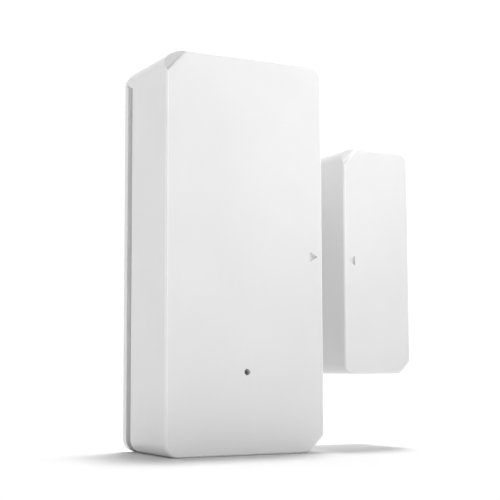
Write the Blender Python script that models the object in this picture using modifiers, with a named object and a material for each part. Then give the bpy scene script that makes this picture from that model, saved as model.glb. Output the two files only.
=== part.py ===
"""Door contact sensor: a two-cell wireless sensor unit and the magnet unit that sits beside it.

The origin is the centre of the sensor's wall face, X runs from the sensor to the magnet, -Y is the
front and Z is up. Sizes are in metres.

The back cover is stuck to the door frame. The sensor unit hangs on it by two runners and slides up
and off, which opens the battery bay. The magnet unit rides on the door leaf and moves away along X.
"""

import math

import bmesh
import bpy
from mathutils import Vector

MM = 0.001

# ---------------------------------------------------------------- driving sizes
SENSOR_WIDTH = 31.0 * MM
SENSOR_HEIGHT = 70.0 * MM
MAGNET_WIDTH = 14.5 * MM
MAGNET_HEIGHT = 42.2 * MM
MAGNET_DEPTH = 16.0 * MM
UNIT_GAP = 6.6 * MM  # between the two cases with the door shut
PAD_THICKNESS = 0.8 * MM
SENSOR_PAD = (20.0 * MM, 49.0 * MM)
MAGNET_PAD = (8.5 * MM, 29.0 * MM)
PAD_CORNER = 2.0 * MM

# Moulded cases
SENSOR_WALL = 1.5 * MM
SENSOR_FRONT_WALL = 1.6 * MM
SENSOR_CORNER = 2.4 * MM  # radius of the top right and bottom left corners in front view
SENSOR_CUT_CORNER = 3.0 * MM  # radius of the top left corner, behind its cut
SENSOR_CUT = 3.8 * MM  # leg of the top left corner's leaning cut, at the front face
SENSOR_STRAIGHT_CUT = 3.0 * MM  # leg of the bottom right corner's cut, the same at every depth
MAGNET_WALL = 1.3 * MM
MAGNET_FRONT_WALL = 1.4 * MM
MAGNET_CORNER = 1.6 * MM
MAGNET_CUT_CORNER = 2.0 * MM
MAGNET_CUT = 2.8 * MM
MAGNET_STRAIGHT_CUT = 2.2 * MM
CUT_LEAN = 1.2  # how fast a leaning cut shrinks with depth
CUT_END_ROUND = 0.6 * MM  # where a straight cut meets the sides
SENSOR_BACK_CUT = 2.3 * MM  # leg of the small cut on the top left corner at the back
EDGE_ROUND = 0.4 * MM  # around the front face
INNER_CORNER_LEAST = 0.5 * MM

# Back cover and the groove that shows between it and the shell
COVER_PLATE = 1.5 * MM
GROOVE_WIDTH = 2.1 * MM
GROOVE_DEPTH = 0.8 * MM
GROOVE_END_DROP = 3.85 * MM  # the groove stops this far under the top, where it meets the shell
GROOVE_END_SLOPE = 0.4  # its end rises towards the back
COVER_CORNER = 2.4 * MM
LIP_THICKNESS = 1.2 * MM
LIP_SETBACK = 0.25 * MM  # from the side walls' back edge
RUNNER_WEB = 0.9 * MM
RUNNER_FOOT = 1.0 * MM
FOOT_SETBACK = 0.05 * MM  # behind the web's front edge
RUNNER_END_GAP = 6.0 * MM  # from the case's bottom to the runner's lower end
RUNNER_LENGTH = 56.0 * MM
COVER_STRIP = 1.9 * MM  # thickness of the cover's bottom strip

# Clearances
GAP = 0.15 * MM  # between fixed neighbours
RUNNING = 0.25 * MM  # between pieces that slide past each other
BITE = 0.4 * MM  # how far joined shapes reach into each other
PASS = 1.0 * MM  # how far a cutter runs past what it cuts
WELD = 0.01 * MM  # points closer than this are one
ALIGNED = 0.99  # least share of a unit direction that counts as along an axis

# Alignment marks and the light's pinhole
MARK_LENGTH = 1.5 * MM
MARK_HEIGHT = 1.8 * MM
MARK_DEPTH = 0.38 * MM
SENSOR_MARK_INSET = 1.1 * MM  # from the triangle's tip to the case's edge
MAGNET_MARK_INSET = 0.8 * MM
PINHOLE_RADIUS = 0.55 * MM
PINHOLE_HEIGHT = 14.35 * MM  # above the case's bottom
LIGHT_RECESS = 0.9 * MM
GUIDE_ROD_RADIUS = 0.75 * MM
GUIDE_FLANGE_RADIUS = 1.1 * MM
GUIDE_FLANGE = 0.55 * MM
GUIDE_RING_WALL = 0.8 * MM
GUIDE_RING_HEIGHT = 1.1 * MM

# Circuit board and what is on it
BOARD_THICKNESS = 1.0 * MM
BOARD_DEPTH = 4.4 * MM  # from the front face to the board's front side
BOARD_EDGE_GAP = 0.4 * MM
BOARD_CORNER = 1.5 * MM
BOSS_RADIUS = 1.9 * MM
SCREW_SHANK = 0.8 * MM
SCREW_HOLE = 0.95 * MM
SCREW_HEAD = 1.6 * MM
SCREW_HEAD_HEIGHT = 1.1 * MM
SCREW_HEAD_SIDE = 0.65 * MM  # height of the head's straight side
SCREW_CROWN = 1.2 * MM  # radius of the head's flat top
SCREW_CROSS = 1.0 * MM  # half the length of the cross recess
SCREW_CROSS_WIDTH = 0.45 * MM
SCREW_CROSS_FLOOR = 0.45 * MM  # above the seat
SCREW_LENGTH = 3.4 * MM
SCREW_SPREAD = 19.0 * MM
SCREW_HEIGHT = 12.5 * MM
PEG_RADIUS = 0.6 * MM
POST_RADIUS = 1.2 * MM
PEG_SPREAD = 17.0 * MM
PEG_FROM_TOP = 4.6 * MM
COMPONENT_GAP = 0.1 * MM
PACKAGE_EDGE = 0.15 * MM
LAMP_LENGTH = 2.0 * MM
LAMP_WIDTH = 1.25 * MM
LAMP_HEIGHT = 0.8 * MM
RADIO_SIZE = (5.0 * MM, 1.5 * MM, 6.2 * MM)
CONTROLLER_SIZE = (4.0 * MM, 0.9 * MM, 4.0 * MM)
CRYSTAL_SIZE = (3.2 * MM, 0.8 * MM, 2.5 * MM)
RADIO_PLACE = (-4.5 * MM, -2.0 * MM)
CONTROLLER_PLACE = (3.0 * MM, 9.0 * MM)
CRYSTAL_PLACE = (-5.0 * MM, 8.0 * MM)

# Reed switch, upright beside the magnet
REED_FROM_SIDE = 4.2 * MM
REED_RADIUS = 0.95 * MM
REED_GLASS_WALL = 0.2 * MM
REED_GLASS_LENGTH = 11.0 * MM
REED_SEAL = 1.2 * MM
REED_TAPER = 0.5 * MM  # inside, from a seal to the bore
REED_NECK = 0.68 * MM  # radius of the glass at its ends
REED_LEAD_RADIUS = 0.25 * MM
REED_LEAD_BEND = 0.6 * MM
REED_LEAD_BEND_STEPS = 4
REED_TONGUE = 1.2 * MM  # the flattened end that joins a lead to its blade
REED_BLADE_WIDTH = 0.7 * MM
REED_BLADE_THICKNESS = 0.16 * MM
REED_OVERLAP = 1.4 * MM
REED_CONTACT_GAP = 0.03 * MM
REED_LEAD_REACH = 3.0 * MM

# Two AAA cells and their holder
CELL_RADIUS = 5.25 * MM
CELL_LENGTH = 44.5 * MM
CELL_NUB_RADIUS = 1.9 * MM
CELL_NUB_HEIGHT = 1.0 * MM
CELL_NUB_EDGE = 0.25 * MM
CELL_SHOULDER = 0.5 * MM
CELL_GAP = 0.2 * MM  # between the two cells
CELL_BACK_GAP = 0.45 * MM  # between the cells and the cover
CELL_SPRING_ROOM = 3.2 * MM
CELL_PLATE_ROOM = 0.8 * MM
CELL_CLEARANCE = 0.2 * MM
HOLDER_WALL = 0.9 * MM
HOLDER_END_WALL = 1.2 * MM
HOLDER_FLOOR = 0.8 * MM
HOLDER_SIDE_HEIGHT = 6.8 * MM
HOLDER_END_HEIGHT = 9.2 * MM
HOLDER_TOP_GAP = 0.6 * MM
HOLDER_CORNER = 1.0 * MM
RIDGE_WIDTH = 0.8 * MM  # each way from the middle
RIDGE_BELOW_AXIS = 0.42  # of a cell's radius: how far the ridge between the cells stays under them
CONTACT_THICKNESS = 0.3 * MM
LINK_ROOM = 0.8 * MM  # for the plate that crosses from one cell to the other
CONTACT_WIDTH = 7.0 * MM
CONTACT_HEIGHT = 7.4 * MM
CONTACT_CORNER = 0.6 * MM
SPRING_WIRE = 0.25 * MM  # radius
SPRING_BASE_RADIUS = 3.1 * MM
SPRING_TIP_RADIUS = 1.9 * MM
SPRING_TURNS = 3
SPRING_STEPS = 14  # points in one turn

# Pairing button, antenna and capacitor on the board's rear side, under the cells
BUTTON_X = 7.0 * MM
BUTTON_HEIGHT = 6.2 * MM
BUTTON_SIDE = 6.0 * MM
BUTTON_CORNER = 0.4 * MM
BUTTON_BASE_DEPTH = 3.4 * MM
BUTTON_PLUNGER_RADIUS = 1.7 * MM
BUTTON_PLUNGER_LENGTH = 2.6 * MM
BUTTON_PLUNGER_EDGE = 0.3 * MM
BUTTON_TRAVEL = 0.25 * MM
ANTENNA_RADIUS = 2.1 * MM
ANTENNA_WIRE = 0.3 * MM  # radius
ANTENNA_PITCH = 1.25 * MM
ANTENNA_TURNS = 9
ANTENNA_STEPS = 12  # points in one turn
ANTENNA_START_X = -11.2 * MM
ANTENNA_HEIGHT = 6.0 * MM
CAPACITOR_RADIUS = 2.0 * MM
CAPACITOR_LENGTH = 5.4 * MM
CAPACITOR_GROOVE = 0.25 * MM
CAPACITOR_HEIGHT = 12.4 * MM

# Magnet and its cover
BAR_WIDTH = 5.0 * MM
BAR_HEIGHT = 28.0 * MM
BAR_DEPTH = 8.0 * MM
BAR_EDGE = 0.5 * MM
MAGNET_COVER_PLATE = 1.3 * MM
MAGNET_COVER_RIM = 1.6 * MM
MAGNET_COVER_RIM_WALL = 1.0 * MM
RIB_THICKNESS = 0.9 * MM
RIB_DEPTH = 5.3 * MM  # from the magnet's front

# ---------------------------------------------------------------- places worked out from them
CELL_SPACING = 2 * CELL_RADIUS + CELL_GAP
HOLDER_HALF_WIDTH = CELL_SPACING / 2 + CELL_RADIUS + CELL_CLEARANCE + HOLDER_WALL
BEHIND_BOARD = GAP + HOLDER_FLOOR + CELL_CLEARANCE + 2 * CELL_RADIUS + CELL_BACK_GAP
SENSOR_DEPTH = BOARD_DEPTH + BOARD_THICKNESS + BEHIND_BOARD + COVER_PLATE  # without the pad
SENSOR_FRONT = -(SENSOR_DEPTH + PAD_THICKNESS)
SENSOR_LEFT = -SENSOR_WIDTH / 2
SENSOR_RIGHT = SENSOR_WIDTH / 2
SENSOR_TOP = SENSOR_HEIGHT / 2
SENSOR_BOTTOM = -SENSOR_HEIGHT / 2
COVER_FRONT = -(COVER_PLATE + PAD_THICKNESS)
GROOVE_FRONT = COVER_FRONT - GROOVE_WIDTH  # where the shell's side walls end
BOARD_FRONT = SENSOR_FRONT + BOARD_DEPTH
BOARD_BACK = BOARD_FRONT + BOARD_THICKNESS
MAGNET_FRONT = -(MAGNET_DEPTH + PAD_THICKNESS)
MAGNET_LEFT = SENSOR_RIGHT + UNIT_GAP
MAGNET_X = MAGNET_LEFT + MAGNET_WIDTH / 2
HOLDER_TOP = SENSOR_TOP - SENSOR_WALL - HOLDER_TOP_GAP
BAY_LENGTH = CELL_LENGTH + CELL_SPRING_ROOM + CELL_PLATE_ROOM
HOLDER_BOTTOM = HOLDER_TOP - BAY_LENGTH - 2 * HOLDER_END_WALL
HOLDER_FRONT = BOARD_BACK + GAP
CELL_Y = HOLDER_FRONT + HOLDER_FLOOR + CELL_CLEARANCE + CELL_RADIUS
BAY_LOW = HOLDER_BOTTOM + HOLDER_END_WALL
BAY_HIGH = HOLDER_TOP - HOLDER_END_WALL
REED_X = SENSOR_RIGHT - REED_FROM_SIDE
REED_Y = BOARD_FRONT - COMPONENT_GAP - REED_RADIUS

TO_FRONT = (math.pi / 2, 0.0, 0.0)  # turns local Z to -Y
TO_BACK = (-math.pi / 2, 0.0, 0.0)  # turns local Z to +Y
TO_RIGHT = (math.pi / 2, 0.0, math.pi / 2)  # turns local X, Y, Z to Y, Z, X
UPRIGHT = (0.0, 0.0, 0.0)


# ---------------------------------------------------------------- scene and materials
def clear_scene():
    for thing in list(bpy.data.objects):
        bpy.data.objects.remove(thing)


def new_collection(name):
    collection = bpy.data.collections.new(name)
    bpy.context.scene.collection.children.link(collection)
    return collection


def new_material(name, colour, roughness, metallic=0.0):
    material = bpy.data.materials.new(name)
    material.use_nodes = True
    shader = material.node_tree.nodes["Principled BSDF"]
    shader.inputs["Base Color"].default_value = (*colour, 1.0)
    shader.inputs["Roughness"].default_value = roughness
    shader.inputs["Metallic"].default_value = metallic
    return material


clear_scene()
PARTS = new_collection("door_contact_sensor")
CUTTERS = new_collection("cutters")

WHITE_PLASTIC = new_material("white_plastic", (0.82, 0.82, 0.82), 0.42)
LIGHT_PLASTIC = new_material("light_guide", (0.90, 0.92, 0.93), 0.15)
BLACK_PLASTIC = new_material("black_plastic", (0.03, 0.03, 0.03), 0.5)
BOARD_GREEN = new_material("board_green", (0.02, 0.16, 0.07), 0.35)
CHIP_BLACK = new_material("chip_black", (0.02, 0.02, 0.022), 0.45)
STEEL = new_material("plated_steel", (0.62, 0.62, 0.60), 0.3, 1.0)
COPPER = new_material("copper_wire", (0.70, 0.40, 0.20), 0.3, 1.0)
GLASS = new_material("reed_glass", (0.75, 0.85, 0.80), 0.05)
CELL_JACKET = new_material("cell_jacket", (0.05, 0.09, 0.22), 0.3)
MAGNET_PLATING = new_material("magnet_plating", (0.60, 0.60, 0.58), 0.25, 1.0)
FOAM_PAD = new_material("adhesive_foam", (0.30, 0.31, 0.32), 0.8)
LAMP_BODY = new_material("lamp_body", (0.75, 0.72, 0.62), 0.3)


# ---------------------------------------------------------------- shapes
def add_object(name, data, location=(0.0, 0.0, 0.0), rotation=UPRIGHT, material=None):
    made = bpy.data.objects.new(name, data)
    PARTS.objects.link(made)
    made.location = location
    made.rotation_euler = rotation
    if material:
        data.materials.append(material)
    return made


def mesh_object(name, shape, location=(0.0, 0.0, 0.0), rotation=UPRIGHT, material=None):
    """Turns a finished bmesh into an object."""
    bmesh.ops.recalc_face_normals(shape, faces=shape.faces)
    data = bpy.data.meshes.new(name)
    shape.to_mesh(data)
    shape.free()
    return add_object(name, data, location, rotation, material)


def block(name, low, high, material=None, radius=0.0, along="Y", segments=4):
    """A block between two corners. The four edges along one axis can be rounded."""
    low, high = Vector(low), Vector(high)
    shape = bmesh.new()
    bmesh.ops.create_cube(shape, size=1.0)
    bmesh.ops.scale(shape, vec=high - low, verts=shape.verts)
    if radius:
        axis = Vector([float(letter == along) for letter in "XYZ"])
        edges = [
            edge for edge in shape.edges
            if abs((edge.verts[0].co - edge.verts[1].co).normalized().dot(axis)) > ALIGNED
        ]
        bmesh.ops.bevel(
            shape, geom=edges, offset=radius, segments=segments, profile=0.5, affect="EDGES"
        )
    return mesh_object(name, shape, (low + high) / 2, UPRIGHT, material)


def rod(name, radius, start, length, rotation, material=None, sides=24):
    """A straight cylinder from a start point, along the turned local Z."""
    shape = bmesh.new()
    bmesh.ops.create_cone(
        shape, cap_ends=True, segments=sides, radius1=radius, radius2=radius, depth=length
    )
    bmesh.ops.translate(shape, vec=(0.0, 0.0, length / 2), verts=shape.verts)
    return mesh_object(name, shape, start, rotation, material)


def turned(name, profile, location, rotation, material, steps=24, closed=False):
    """A turned piece. The profile is (radius, height) pairs that run down the outer side."""
    data = bpy.data.meshes.new(name)
    count = len(profile)
    edges = [(i, i + 1) for i in range(count - 1)]
    if closed:
        edges.append((count - 1, 0))
    data.from_pydata([(radius, 0.0, height) for radius, height in profile], edges, [])
    made = add_object(name, data, location, rotation, material)
    screw = made.modifiers.new("turn", "SCREW")
    screw.steps = steps
    screw.render_steps = steps
    screw.use_merge_vertices = True
    screw.merge_threshold = WELD
    return made


def wire(name, points, radius, material, location=(0.0, 0.0, 0.0)):
    """A round wire through points given relative to its location."""
    curve = bpy.data.curves.new(name, "CURVE")
    curve.dimensions = "3D"
    curve.bevel_depth = radius
    curve.bevel_resolution = 2
    curve.use_fill_caps = True
    spline = curve.splines.new("POLY")
    spline.points.add(len(points) - 1)
    for place, point in zip(spline.points, points):
        place.co = (*point, 1.0)
    return add_object(name, curve, location, UPRIGHT, material)


def as_mesh(made):
    """Replaces a curve object by the closed mesh that it draws."""
    bpy.context.view_layer.update()
    drawn = made.evaluated_get(bpy.context.evaluated_depsgraph_get())
    shape = bmesh.new()
    data = bpy.data.meshes.new_from_object(drawn)
    shape.from_mesh(data)
    bmesh.ops.remove_doubles(shape, verts=shape.verts, dist=WELD)
    bmesh.ops.recalc_face_normals(shape, faces=shape.faces)
    shape.to_mesh(data)
    shape.free()
    name, place = made.name, made.matrix_world.copy()
    bpy.data.objects.remove(made)
    data.name = name
    solid = bpy.data.objects.new(name, data)
    PARTS.objects.link(solid)
    solid.matrix_world = place
    return solid


def outline_solid(name, outline, thickness, location, rotation, material=None):
    """A flat shape of even thickness, centred on its location."""
    curve = bpy.data.curves.new(name, "CURVE")
    curve.dimensions = "2D"
    curve.fill_mode = "BOTH"
    curve.extrude = thickness / 2
    spline = curve.splines.new("POLY")
    spline.points.add(len(outline) - 1)
    for place, (across, up) in zip(spline.points, outline):
        place.co = (across, up, 0.0, 1.0)
    spline.use_cyclic_u = True
    return as_mesh(add_object(name, curve, location, rotation, material))


def combine(body, tool, operation):
    """Adds a live Boolean, and puts its tool away."""
    modifier = body.modifiers.new(tool.name, "BOOLEAN")
    modifier.operation = operation
    modifier.object = tool
    PARTS.objects.unlink(tool)
    CUTTERS.objects.link(tool)
    tool.hide_render = True
    tool.display_type = "WIRE"


def cut(body, *tools):
    for tool in tools:
        combine(body, tool, "DIFFERENCE")


def join(body, *tools):
    for tool in tools:
        combine(body, tool, "UNION")


def holder_empty(name, location=(0.0, 0.0, 0.0)):
    made = bpy.data.objects.new(name, None)
    PARTS.objects.link(made)
    made.location = location
    return made


def attach(parent, *pieces):
    """Parents pieces to an empty and leaves them where they are."""
    bpy.context.view_layer.update()
    for piece in pieces:
        piece.parent = parent
        piece.matrix_parent_inverse = parent.matrix_world.inverted()


# ---------------------------------------------------------------- moulded cases
def inner_leg(leg, wall):
    """The leg of a straight cut on the inside of a wall that is as thick there as elsewhere."""
    return leg - (2 - math.sqrt(2)) * wall


def bevel_corner(shape, side, end, width, segments):
    """Bevels the edges that run from front to back in one corner of the outline."""
    picked = [
        edge for edge in shape.edges
        if all(side * vert.co.x > 0 and end * vert.co.z > 0 for vert in edge.verts)
        and abs((edge.verts[0].co - edge.verts[1].co).normalized().y) > ALIGNED
    ]
    bmesh.ops.bevel(
        shape, geom=picked, offset=width, segments=segments, profile=0.5, affect="EDGES"
    )


def cornered_box(low, high, corner, top_left, leg):
    """A box with three corners rounded, and the bottom right one cut straight off."""
    shape = bmesh.new()
    bmesh.ops.create_cube(shape, size=1.0)
    bmesh.ops.scale(shape, vec=Vector(high) - Vector(low), verts=shape.verts)
    for side, end, radius in ((-1, 1, top_left), (1, 1, corner), (-1, -1, corner)):
        bevel_corner(shape, side, end, radius, 6)
    bevel_corner(shape, 1, -1, leg, 1)
    bevel_corner(shape, 1, -1, min(CUT_END_ROUND, leg / 2), 3)
    return shape


def cornered_block(name, low, high, corner, leg, material=None):
    middle = (Vector(low) + Vector(high)) / 2
    return mesh_object(name, cornered_box(low, high, corner, corner, leg), middle, UPRIGHT, material)


def slice_corner(shape, half, end, leg):
    """Cuts the top left corner with a leaning plane. The end is -1 at the front, 1 at the back."""
    outward = Vector((-1.0, end * CUT_LEAN, 1.0)).normalized()
    on_plane = Vector((leg - half.x, end * half.y, half.z))
    everything = list(shape.verts) + list(shape.edges) + list(shape.faces)
    bmesh.ops.bisect_plane(
        shape, geom=everything, dist=WELD / 100, plane_co=on_plane, plane_no=outward, clear_outer=True
    )
    rim = [edge for edge in shape.edges if edge.is_boundary]
    bmesh.ops.holes_fill(shape, edges=rim)


def case_body(name, low, high, corners, cut_leg, straight_leg, back_leg=0.0):
    """The outside of a case, with its front edge rounded."""
    corner, top_left = corners
    shape = cornered_box(low, high, corner, top_left, straight_leg)
    half = (Vector(high) - Vector(low)) / 2
    slice_corner(shape, half, -1.0, cut_leg)
    if back_leg:
        slice_corner(shape, half, 1.0, back_leg)
    bmesh.ops.remove_doubles(shape, verts=shape.verts, dist=WELD)
    bmesh.ops.recalc_face_normals(shape, faces=shape.faces)
    front_edges = {
        edge for face in shape.faces if face.normal.y < -ALIGNED for edge in face.edges
    }
    bmesh.ops.bevel(
        shape, geom=list(front_edges), offset=EDGE_ROUND, segments=3, profile=0.5, affect="EDGES"
    )
    return mesh_object(name, shape, (Vector(low) + Vector(high)) / 2, UPRIGHT, WHITE_PLASTIC)


def alignment_mark(name, tip_x, points_right, front_y):
    """The cutter for one engraved triangle whose tip points at the other case."""
    reach = MARK_LENGTH if points_right else -MARK_LENGTH
    outline = [(0.0, 0.0), (-reach, MARK_HEIGHT / 2), (-reach, -MARK_HEIGHT / 2)]
    return outline_solid(name, outline, 2 * MARK_DEPTH, (tip_x, front_y, 0.0), TO_FRONT)


def front_shell():
    shell = case_body(
        "front_shell",
        (SENSOR_LEFT, SENSOR_FRONT, SENSOR_BOTTOM),
        (SENSOR_RIGHT, -PAD_THICKNESS, SENSOR_TOP),
        (SENSOR_CORNER, SENSOR_CUT_CORNER),
        SENSOR_CUT,
        SENSOR_STRAIGHT_CUT,
        SENSOR_BACK_CUT,
    )
    hollow = cornered_block(
        "shell_hollow",
        (SENSOR_LEFT + SENSOR_WALL, SENSOR_FRONT + SENSOR_FRONT_WALL, SENSOR_BOTTOM + SENSOR_WALL),
        (SENSOR_RIGHT - SENSOR_WALL, PASS, SENSOR_TOP - SENSOR_WALL),
        max(SENSOR_CORNER - SENSOR_WALL, INNER_CORNER_LEAST),
        inner_leg(SENSOR_STRAIGHT_CUT, SENSOR_WALL),
    )
    cut(shell, hollow, shell_rebate(), groove_wedge("shell_groove", 0.0))
    join(shell, *shell_lips())
    join(shell, *board_bosses())
    join(shell, light_guide_ring())
    cut(shell, *runner_notches())
    cut(shell, *boss_pilot_holes())
    pinhole = rod(
        "pinhole",
        PINHOLE_RADIUS,
        (0.0, SENSOR_FRONT - PASS, SENSOR_BOTTOM + PINHOLE_HEIGHT),
        SENSOR_FRONT_WALL + 2 * PASS,
        TO_BACK,
    )
    mark = alignment_mark("sensor_mark", SENSOR_RIGHT - SENSOR_MARK_INSET, True, SENSOR_FRONT)
    cut(shell, pinhole, mark)
    return shell


def shell_rebate():
    """Thins the side walls at the back, so that the cover's upright edge fits inside them."""
    half = SENSOR_RIGHT - GROOVE_DEPTH + GAP
    return block(
        "shell_rebate",
        (-half, GROOVE_FRONT, SENSOR_BOTTOM),
        (half, PASS, SENSOR_TOP - SENSOR_WALL),
        radius=SENSOR_CORNER - GROOVE_DEPTH,
    )


def groove_wedge(name, lowered):
    """The space behind the side walls and under the groove's sloping end."""
    end = SENSOR_TOP - GROOVE_END_DROP - lowered
    outline = [
        (GROOVE_FRONT, SENSOR_BOTTOM - PASS),
        (PASS, SENSOR_BOTTOM - PASS),
        (PASS, end + GROOVE_END_SLOPE * (PASS - GROOVE_FRONT)),
        (GROOVE_FRONT, end),
    ]
    width = SENSOR_WIDTH + 2 * PASS
    return outline_solid(name, outline, width, (0.0, 0.0, 0.0), TO_RIGHT)


def shell_lips():
    """The ribs inside the side walls that the cover's runners hook behind."""
    lips = []
    inner = SENSOR_RIGHT - SENSOR_WALL
    low = SENSOR_BOTTOM + SENSOR_WALL + SENSOR_CORNER
    high = SENSOR_TOP - SENSOR_WALL - SENSOR_CORNER
    for side, web_outer, _ in runner_places():
        across = sorted((side * (inner + BITE), web_outer + side * RUNNING))
        lips.append(
            block(
                f"lip_{'right' if side > 0 else 'left'}",
                (across[0], GROOVE_FRONT - LIP_THICKNESS, low),
                (across[1], GROOVE_FRONT - LIP_SETBACK, high),
            )
        )
    return lips


def runner_places():
    """For each side: the outer and inner x of the web, which runs beside the battery holder."""
    inner = HOLDER_HALF_WIDTH + RUNNING
    return [(side, side * (inner + RUNNER_WEB), side * inner) for side in (-1.0, 1.0)]


def runner_front():
    return GROOVE_FRONT - LIP_THICKNESS - RUNNING - RUNNER_FOOT


def runner_notches():
    """Openings in the bottom wall that let the runners through as the case slides up."""
    notches = []
    for side, _, web_inner in runner_places():
        wall = side * (SENSOR_RIGHT - SENSOR_WALL)
        across = sorted((wall, web_inner - side * RUNNING))
        notches.append(
            block(
                f"notch_{'right' if side > 0 else 'left'}",
                (across[0], runner_front() - RUNNING, SENSOR_BOTTOM - PASS),
                (across[1], COVER_FRONT, SENSOR_BOTTOM + SENSOR_WALL + SENSOR_STRAIGHT_CUT),
            )
        )
    return notches


def screw_places():
    height = SENSOR_BOTTOM + SCREW_HEIGHT
    return [(-SCREW_SPREAD / 2, height), (SCREW_SPREAD / 2, height)]


def peg_places():
    height = SENSOR_TOP - PEG_FROM_TOP
    return [(-PEG_SPREAD / 2, height), (PEG_SPREAD / 2, height)]


def board_bosses():
    """Two screw bosses at the bottom and two posts with locating pegs at the top."""
    start = SENSOR_FRONT + SENSOR_FRONT_WALL - BITE
    length = BOARD_FRONT - GAP - start
    bosses = [
        rod(f"boss_{i}", BOSS_RADIUS, (x, start, z), length, TO_BACK)
        for i, (x, z) in enumerate(screw_places())
    ]
    for i, (x, z) in enumerate(peg_places()):
        bosses.append(rod(f"post_{i}", POST_RADIUS, (x, start, z), length, TO_BACK, sides=16))
        bosses.append(
            rod(f"peg_{i}", PEG_RADIUS, (x, start, z), length + BOARD_THICKNESS, TO_BACK, sides=16)
        )
    return bosses


def boss_pilot_holes():
    start = SENSOR_FRONT + SENSOR_FRONT_WALL
    return [
        rod(f"pilot_{i}", SCREW_HOLE, (x, start, z), BOARD_DEPTH, TO_BACK, sides=16)
        for i, (x, z) in enumerate(screw_places())
    ]


def light_guide_ring():
    """The collar on the front wall that holds the light guide's flange."""
    inner = GUIDE_FLANGE_RADIUS + GAP
    outer = inner + GUIDE_RING_WALL
    back = SENSOR_FRONT_WALL + GUIDE_RING_HEIGHT
    front = SENSOR_FRONT_WALL - BITE
    profile = [(outer, back), (outer, front), (inner, front), (inner, back)]
    place = (0.0, SENSOR_FRONT, SENSOR_BOTTOM + PINHOLE_HEIGHT)
    return turned("light_ring", profile, place, TO_BACK, None, closed=True)


def light_guide():
    """The clear plastic rod that carries the lamp's light to the pinhole."""
    flange_front = SENSOR_FRONT_WALL + GAP
    flange_back = flange_front + GUIDE_FLANGE
    lamp = BOARD_DEPTH - COMPONENT_GAP - LAMP_HEIGHT - GAP
    profile = [
        (0.0, lamp),
        (GUIDE_ROD_RADIUS, lamp),
        (GUIDE_ROD_RADIUS, flange_back),
        (GUIDE_FLANGE_RADIUS, flange_back),
        (GUIDE_FLANGE_RADIUS, flange_front),
        (PINHOLE_RADIUS - GAP / 2, flange_front),
        (PINHOLE_RADIUS - GAP / 2, LIGHT_RECESS),
        (0.0, LIGHT_RECESS),
    ]
    place = (0.0, SENSOR_FRONT, SENSOR_BOTTOM + PINHOLE_HEIGHT)
    return turned("light_guide", profile, place, TO_BACK, LIGHT_PLASTIC)


# ---------------------------------------------------------------- back cover and pads
def back_cover():
    """The plate that is stuck to the frame, its upright edge and the two runners.

    The plate fills the outline under the groove's end. Above that only its middle goes on.
    """
    cover = cornered_block(
        "back_cover",
        (SENSOR_LEFT, COVER_FRONT, SENSOR_BOTTOM),
        (SENSOR_RIGHT, -PAD_THICKNESS, SENSOR_TOP),
        COVER_CORNER,
        SENSOR_STRAIGHT_CUT,
        WHITE_PLASTIC,
    )
    combine(cover, groove_wedge("cover_outline", GAP), "INTERSECT")
    side = SENSOR_RIGHT - GROOVE_DEPTH
    bottom = SENSOR_BOTTOM + GROOVE_DEPTH
    step = cornered_block(
        "cover_step",
        (-side, GROOVE_FRONT + GAP, bottom),
        (side, -PAD_THICKNESS - GAP / 2, SENSOR_TOP - SENSOR_WALL - RUNNING),
        COVER_CORNER - GROOVE_DEPTH,
        inner_leg(SENSOR_STRAIGHT_CUT, GROOVE_DEPTH),
    )
    web_inner = runner_places()[1][2]
    clear = block(
        "cover_step_opening",
        (-web_inner, GROOVE_FRONT - PASS, bottom + COVER_STRIP),
        (web_inner, COVER_FRONT, SENSOR_TOP),
    )
    cut(step, clear)
    join(cover, step)
    join(cover, *cover_runners())
    return cover


def cover_runners():
    low = SENSOR_BOTTOM + RUNNER_END_GAP
    high = low + RUNNER_LENGTH
    front = runner_front()
    made = []
    for side, web_outer, web_inner in runner_places():
        word = "right" if side > 0 else "left"
        across = sorted((web_outer, web_inner))
        made.append(
            block(
                f"runner_web_{word}",
                (across[0], front, low),
                (across[1], COVER_FRONT + BITE / 2, high),
            )
        )
        foot_end = side * (SENSOR_RIGHT - SENSOR_WALL - RUNNING)
        across = sorted((web_outer - side * BITE, foot_end))
        made.append(
            block(
                f"runner_foot_{word}",
                (across[0], front + FOOT_SETBACK, low + BITE),
                (across[1], front + RUNNER_FOOT, high - BITE),
            )
        )
    return made


def pad(name, centre_x, size):
    width, height = size
    return block(
        name,
        (centre_x - width / 2, -PAD_THICKNESS + COMPONENT_GAP, -height / 2),
        (centre_x + width / 2, 0.0, height / 2),
        FOAM_PAD,
        radius=PAD_CORNER,
    )


# ---------------------------------------------------------------- circuit board
def circuit_board():
    half_width = SENSOR_WIDTH / 2 - SENSOR_WALL - BOARD_EDGE_GAP
    half_height = SENSOR_HEIGHT / 2 - SENSOR_WALL - BOARD_EDGE_GAP
    outline = []
    case_leg = max(BOARD_CORNER, inner_leg(SENSOR_STRAIGHT_CUT, SENSOR_WALL))
    for across, up in ((1, 1), (-1, 1), (-1, -1), (1, -1)):
        leg = case_leg if (across, up) == (1, -1) else BOARD_CORNER
        ends = [
            (across * half_width, up * (half_height - leg)),
            (across * (half_width - leg), up * half_height),
        ]
        outline += ends if across * up > 0 else ends[::-1]
    middle = (0.0, (BOARD_FRONT + BOARD_BACK) / 2, 0.0)
    board = outline_solid(
        "circuit_board", outline, BOARD_THICKNESS, middle, TO_FRONT, BOARD_GREEN
    )
    start = BOARD_FRONT - PASS
    length = BOARD_THICKNESS + 2 * PASS
    holes = [(x, z, SCREW_HOLE) for x, z in screw_places()]
    holes += [(x, z, PEG_RADIUS + GAP) for x, z in peg_places()]
    holes += [(REED_X, z, REED_LEAD_RADIUS + GAP) for z in reed_lead_ends()]
    for i, (x, z, radius) in enumerate(holes):
        cut(board, rod(f"board_hole_{i}", radius, (x, start, z), length, TO_BACK, sides=16))
    return board


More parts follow.
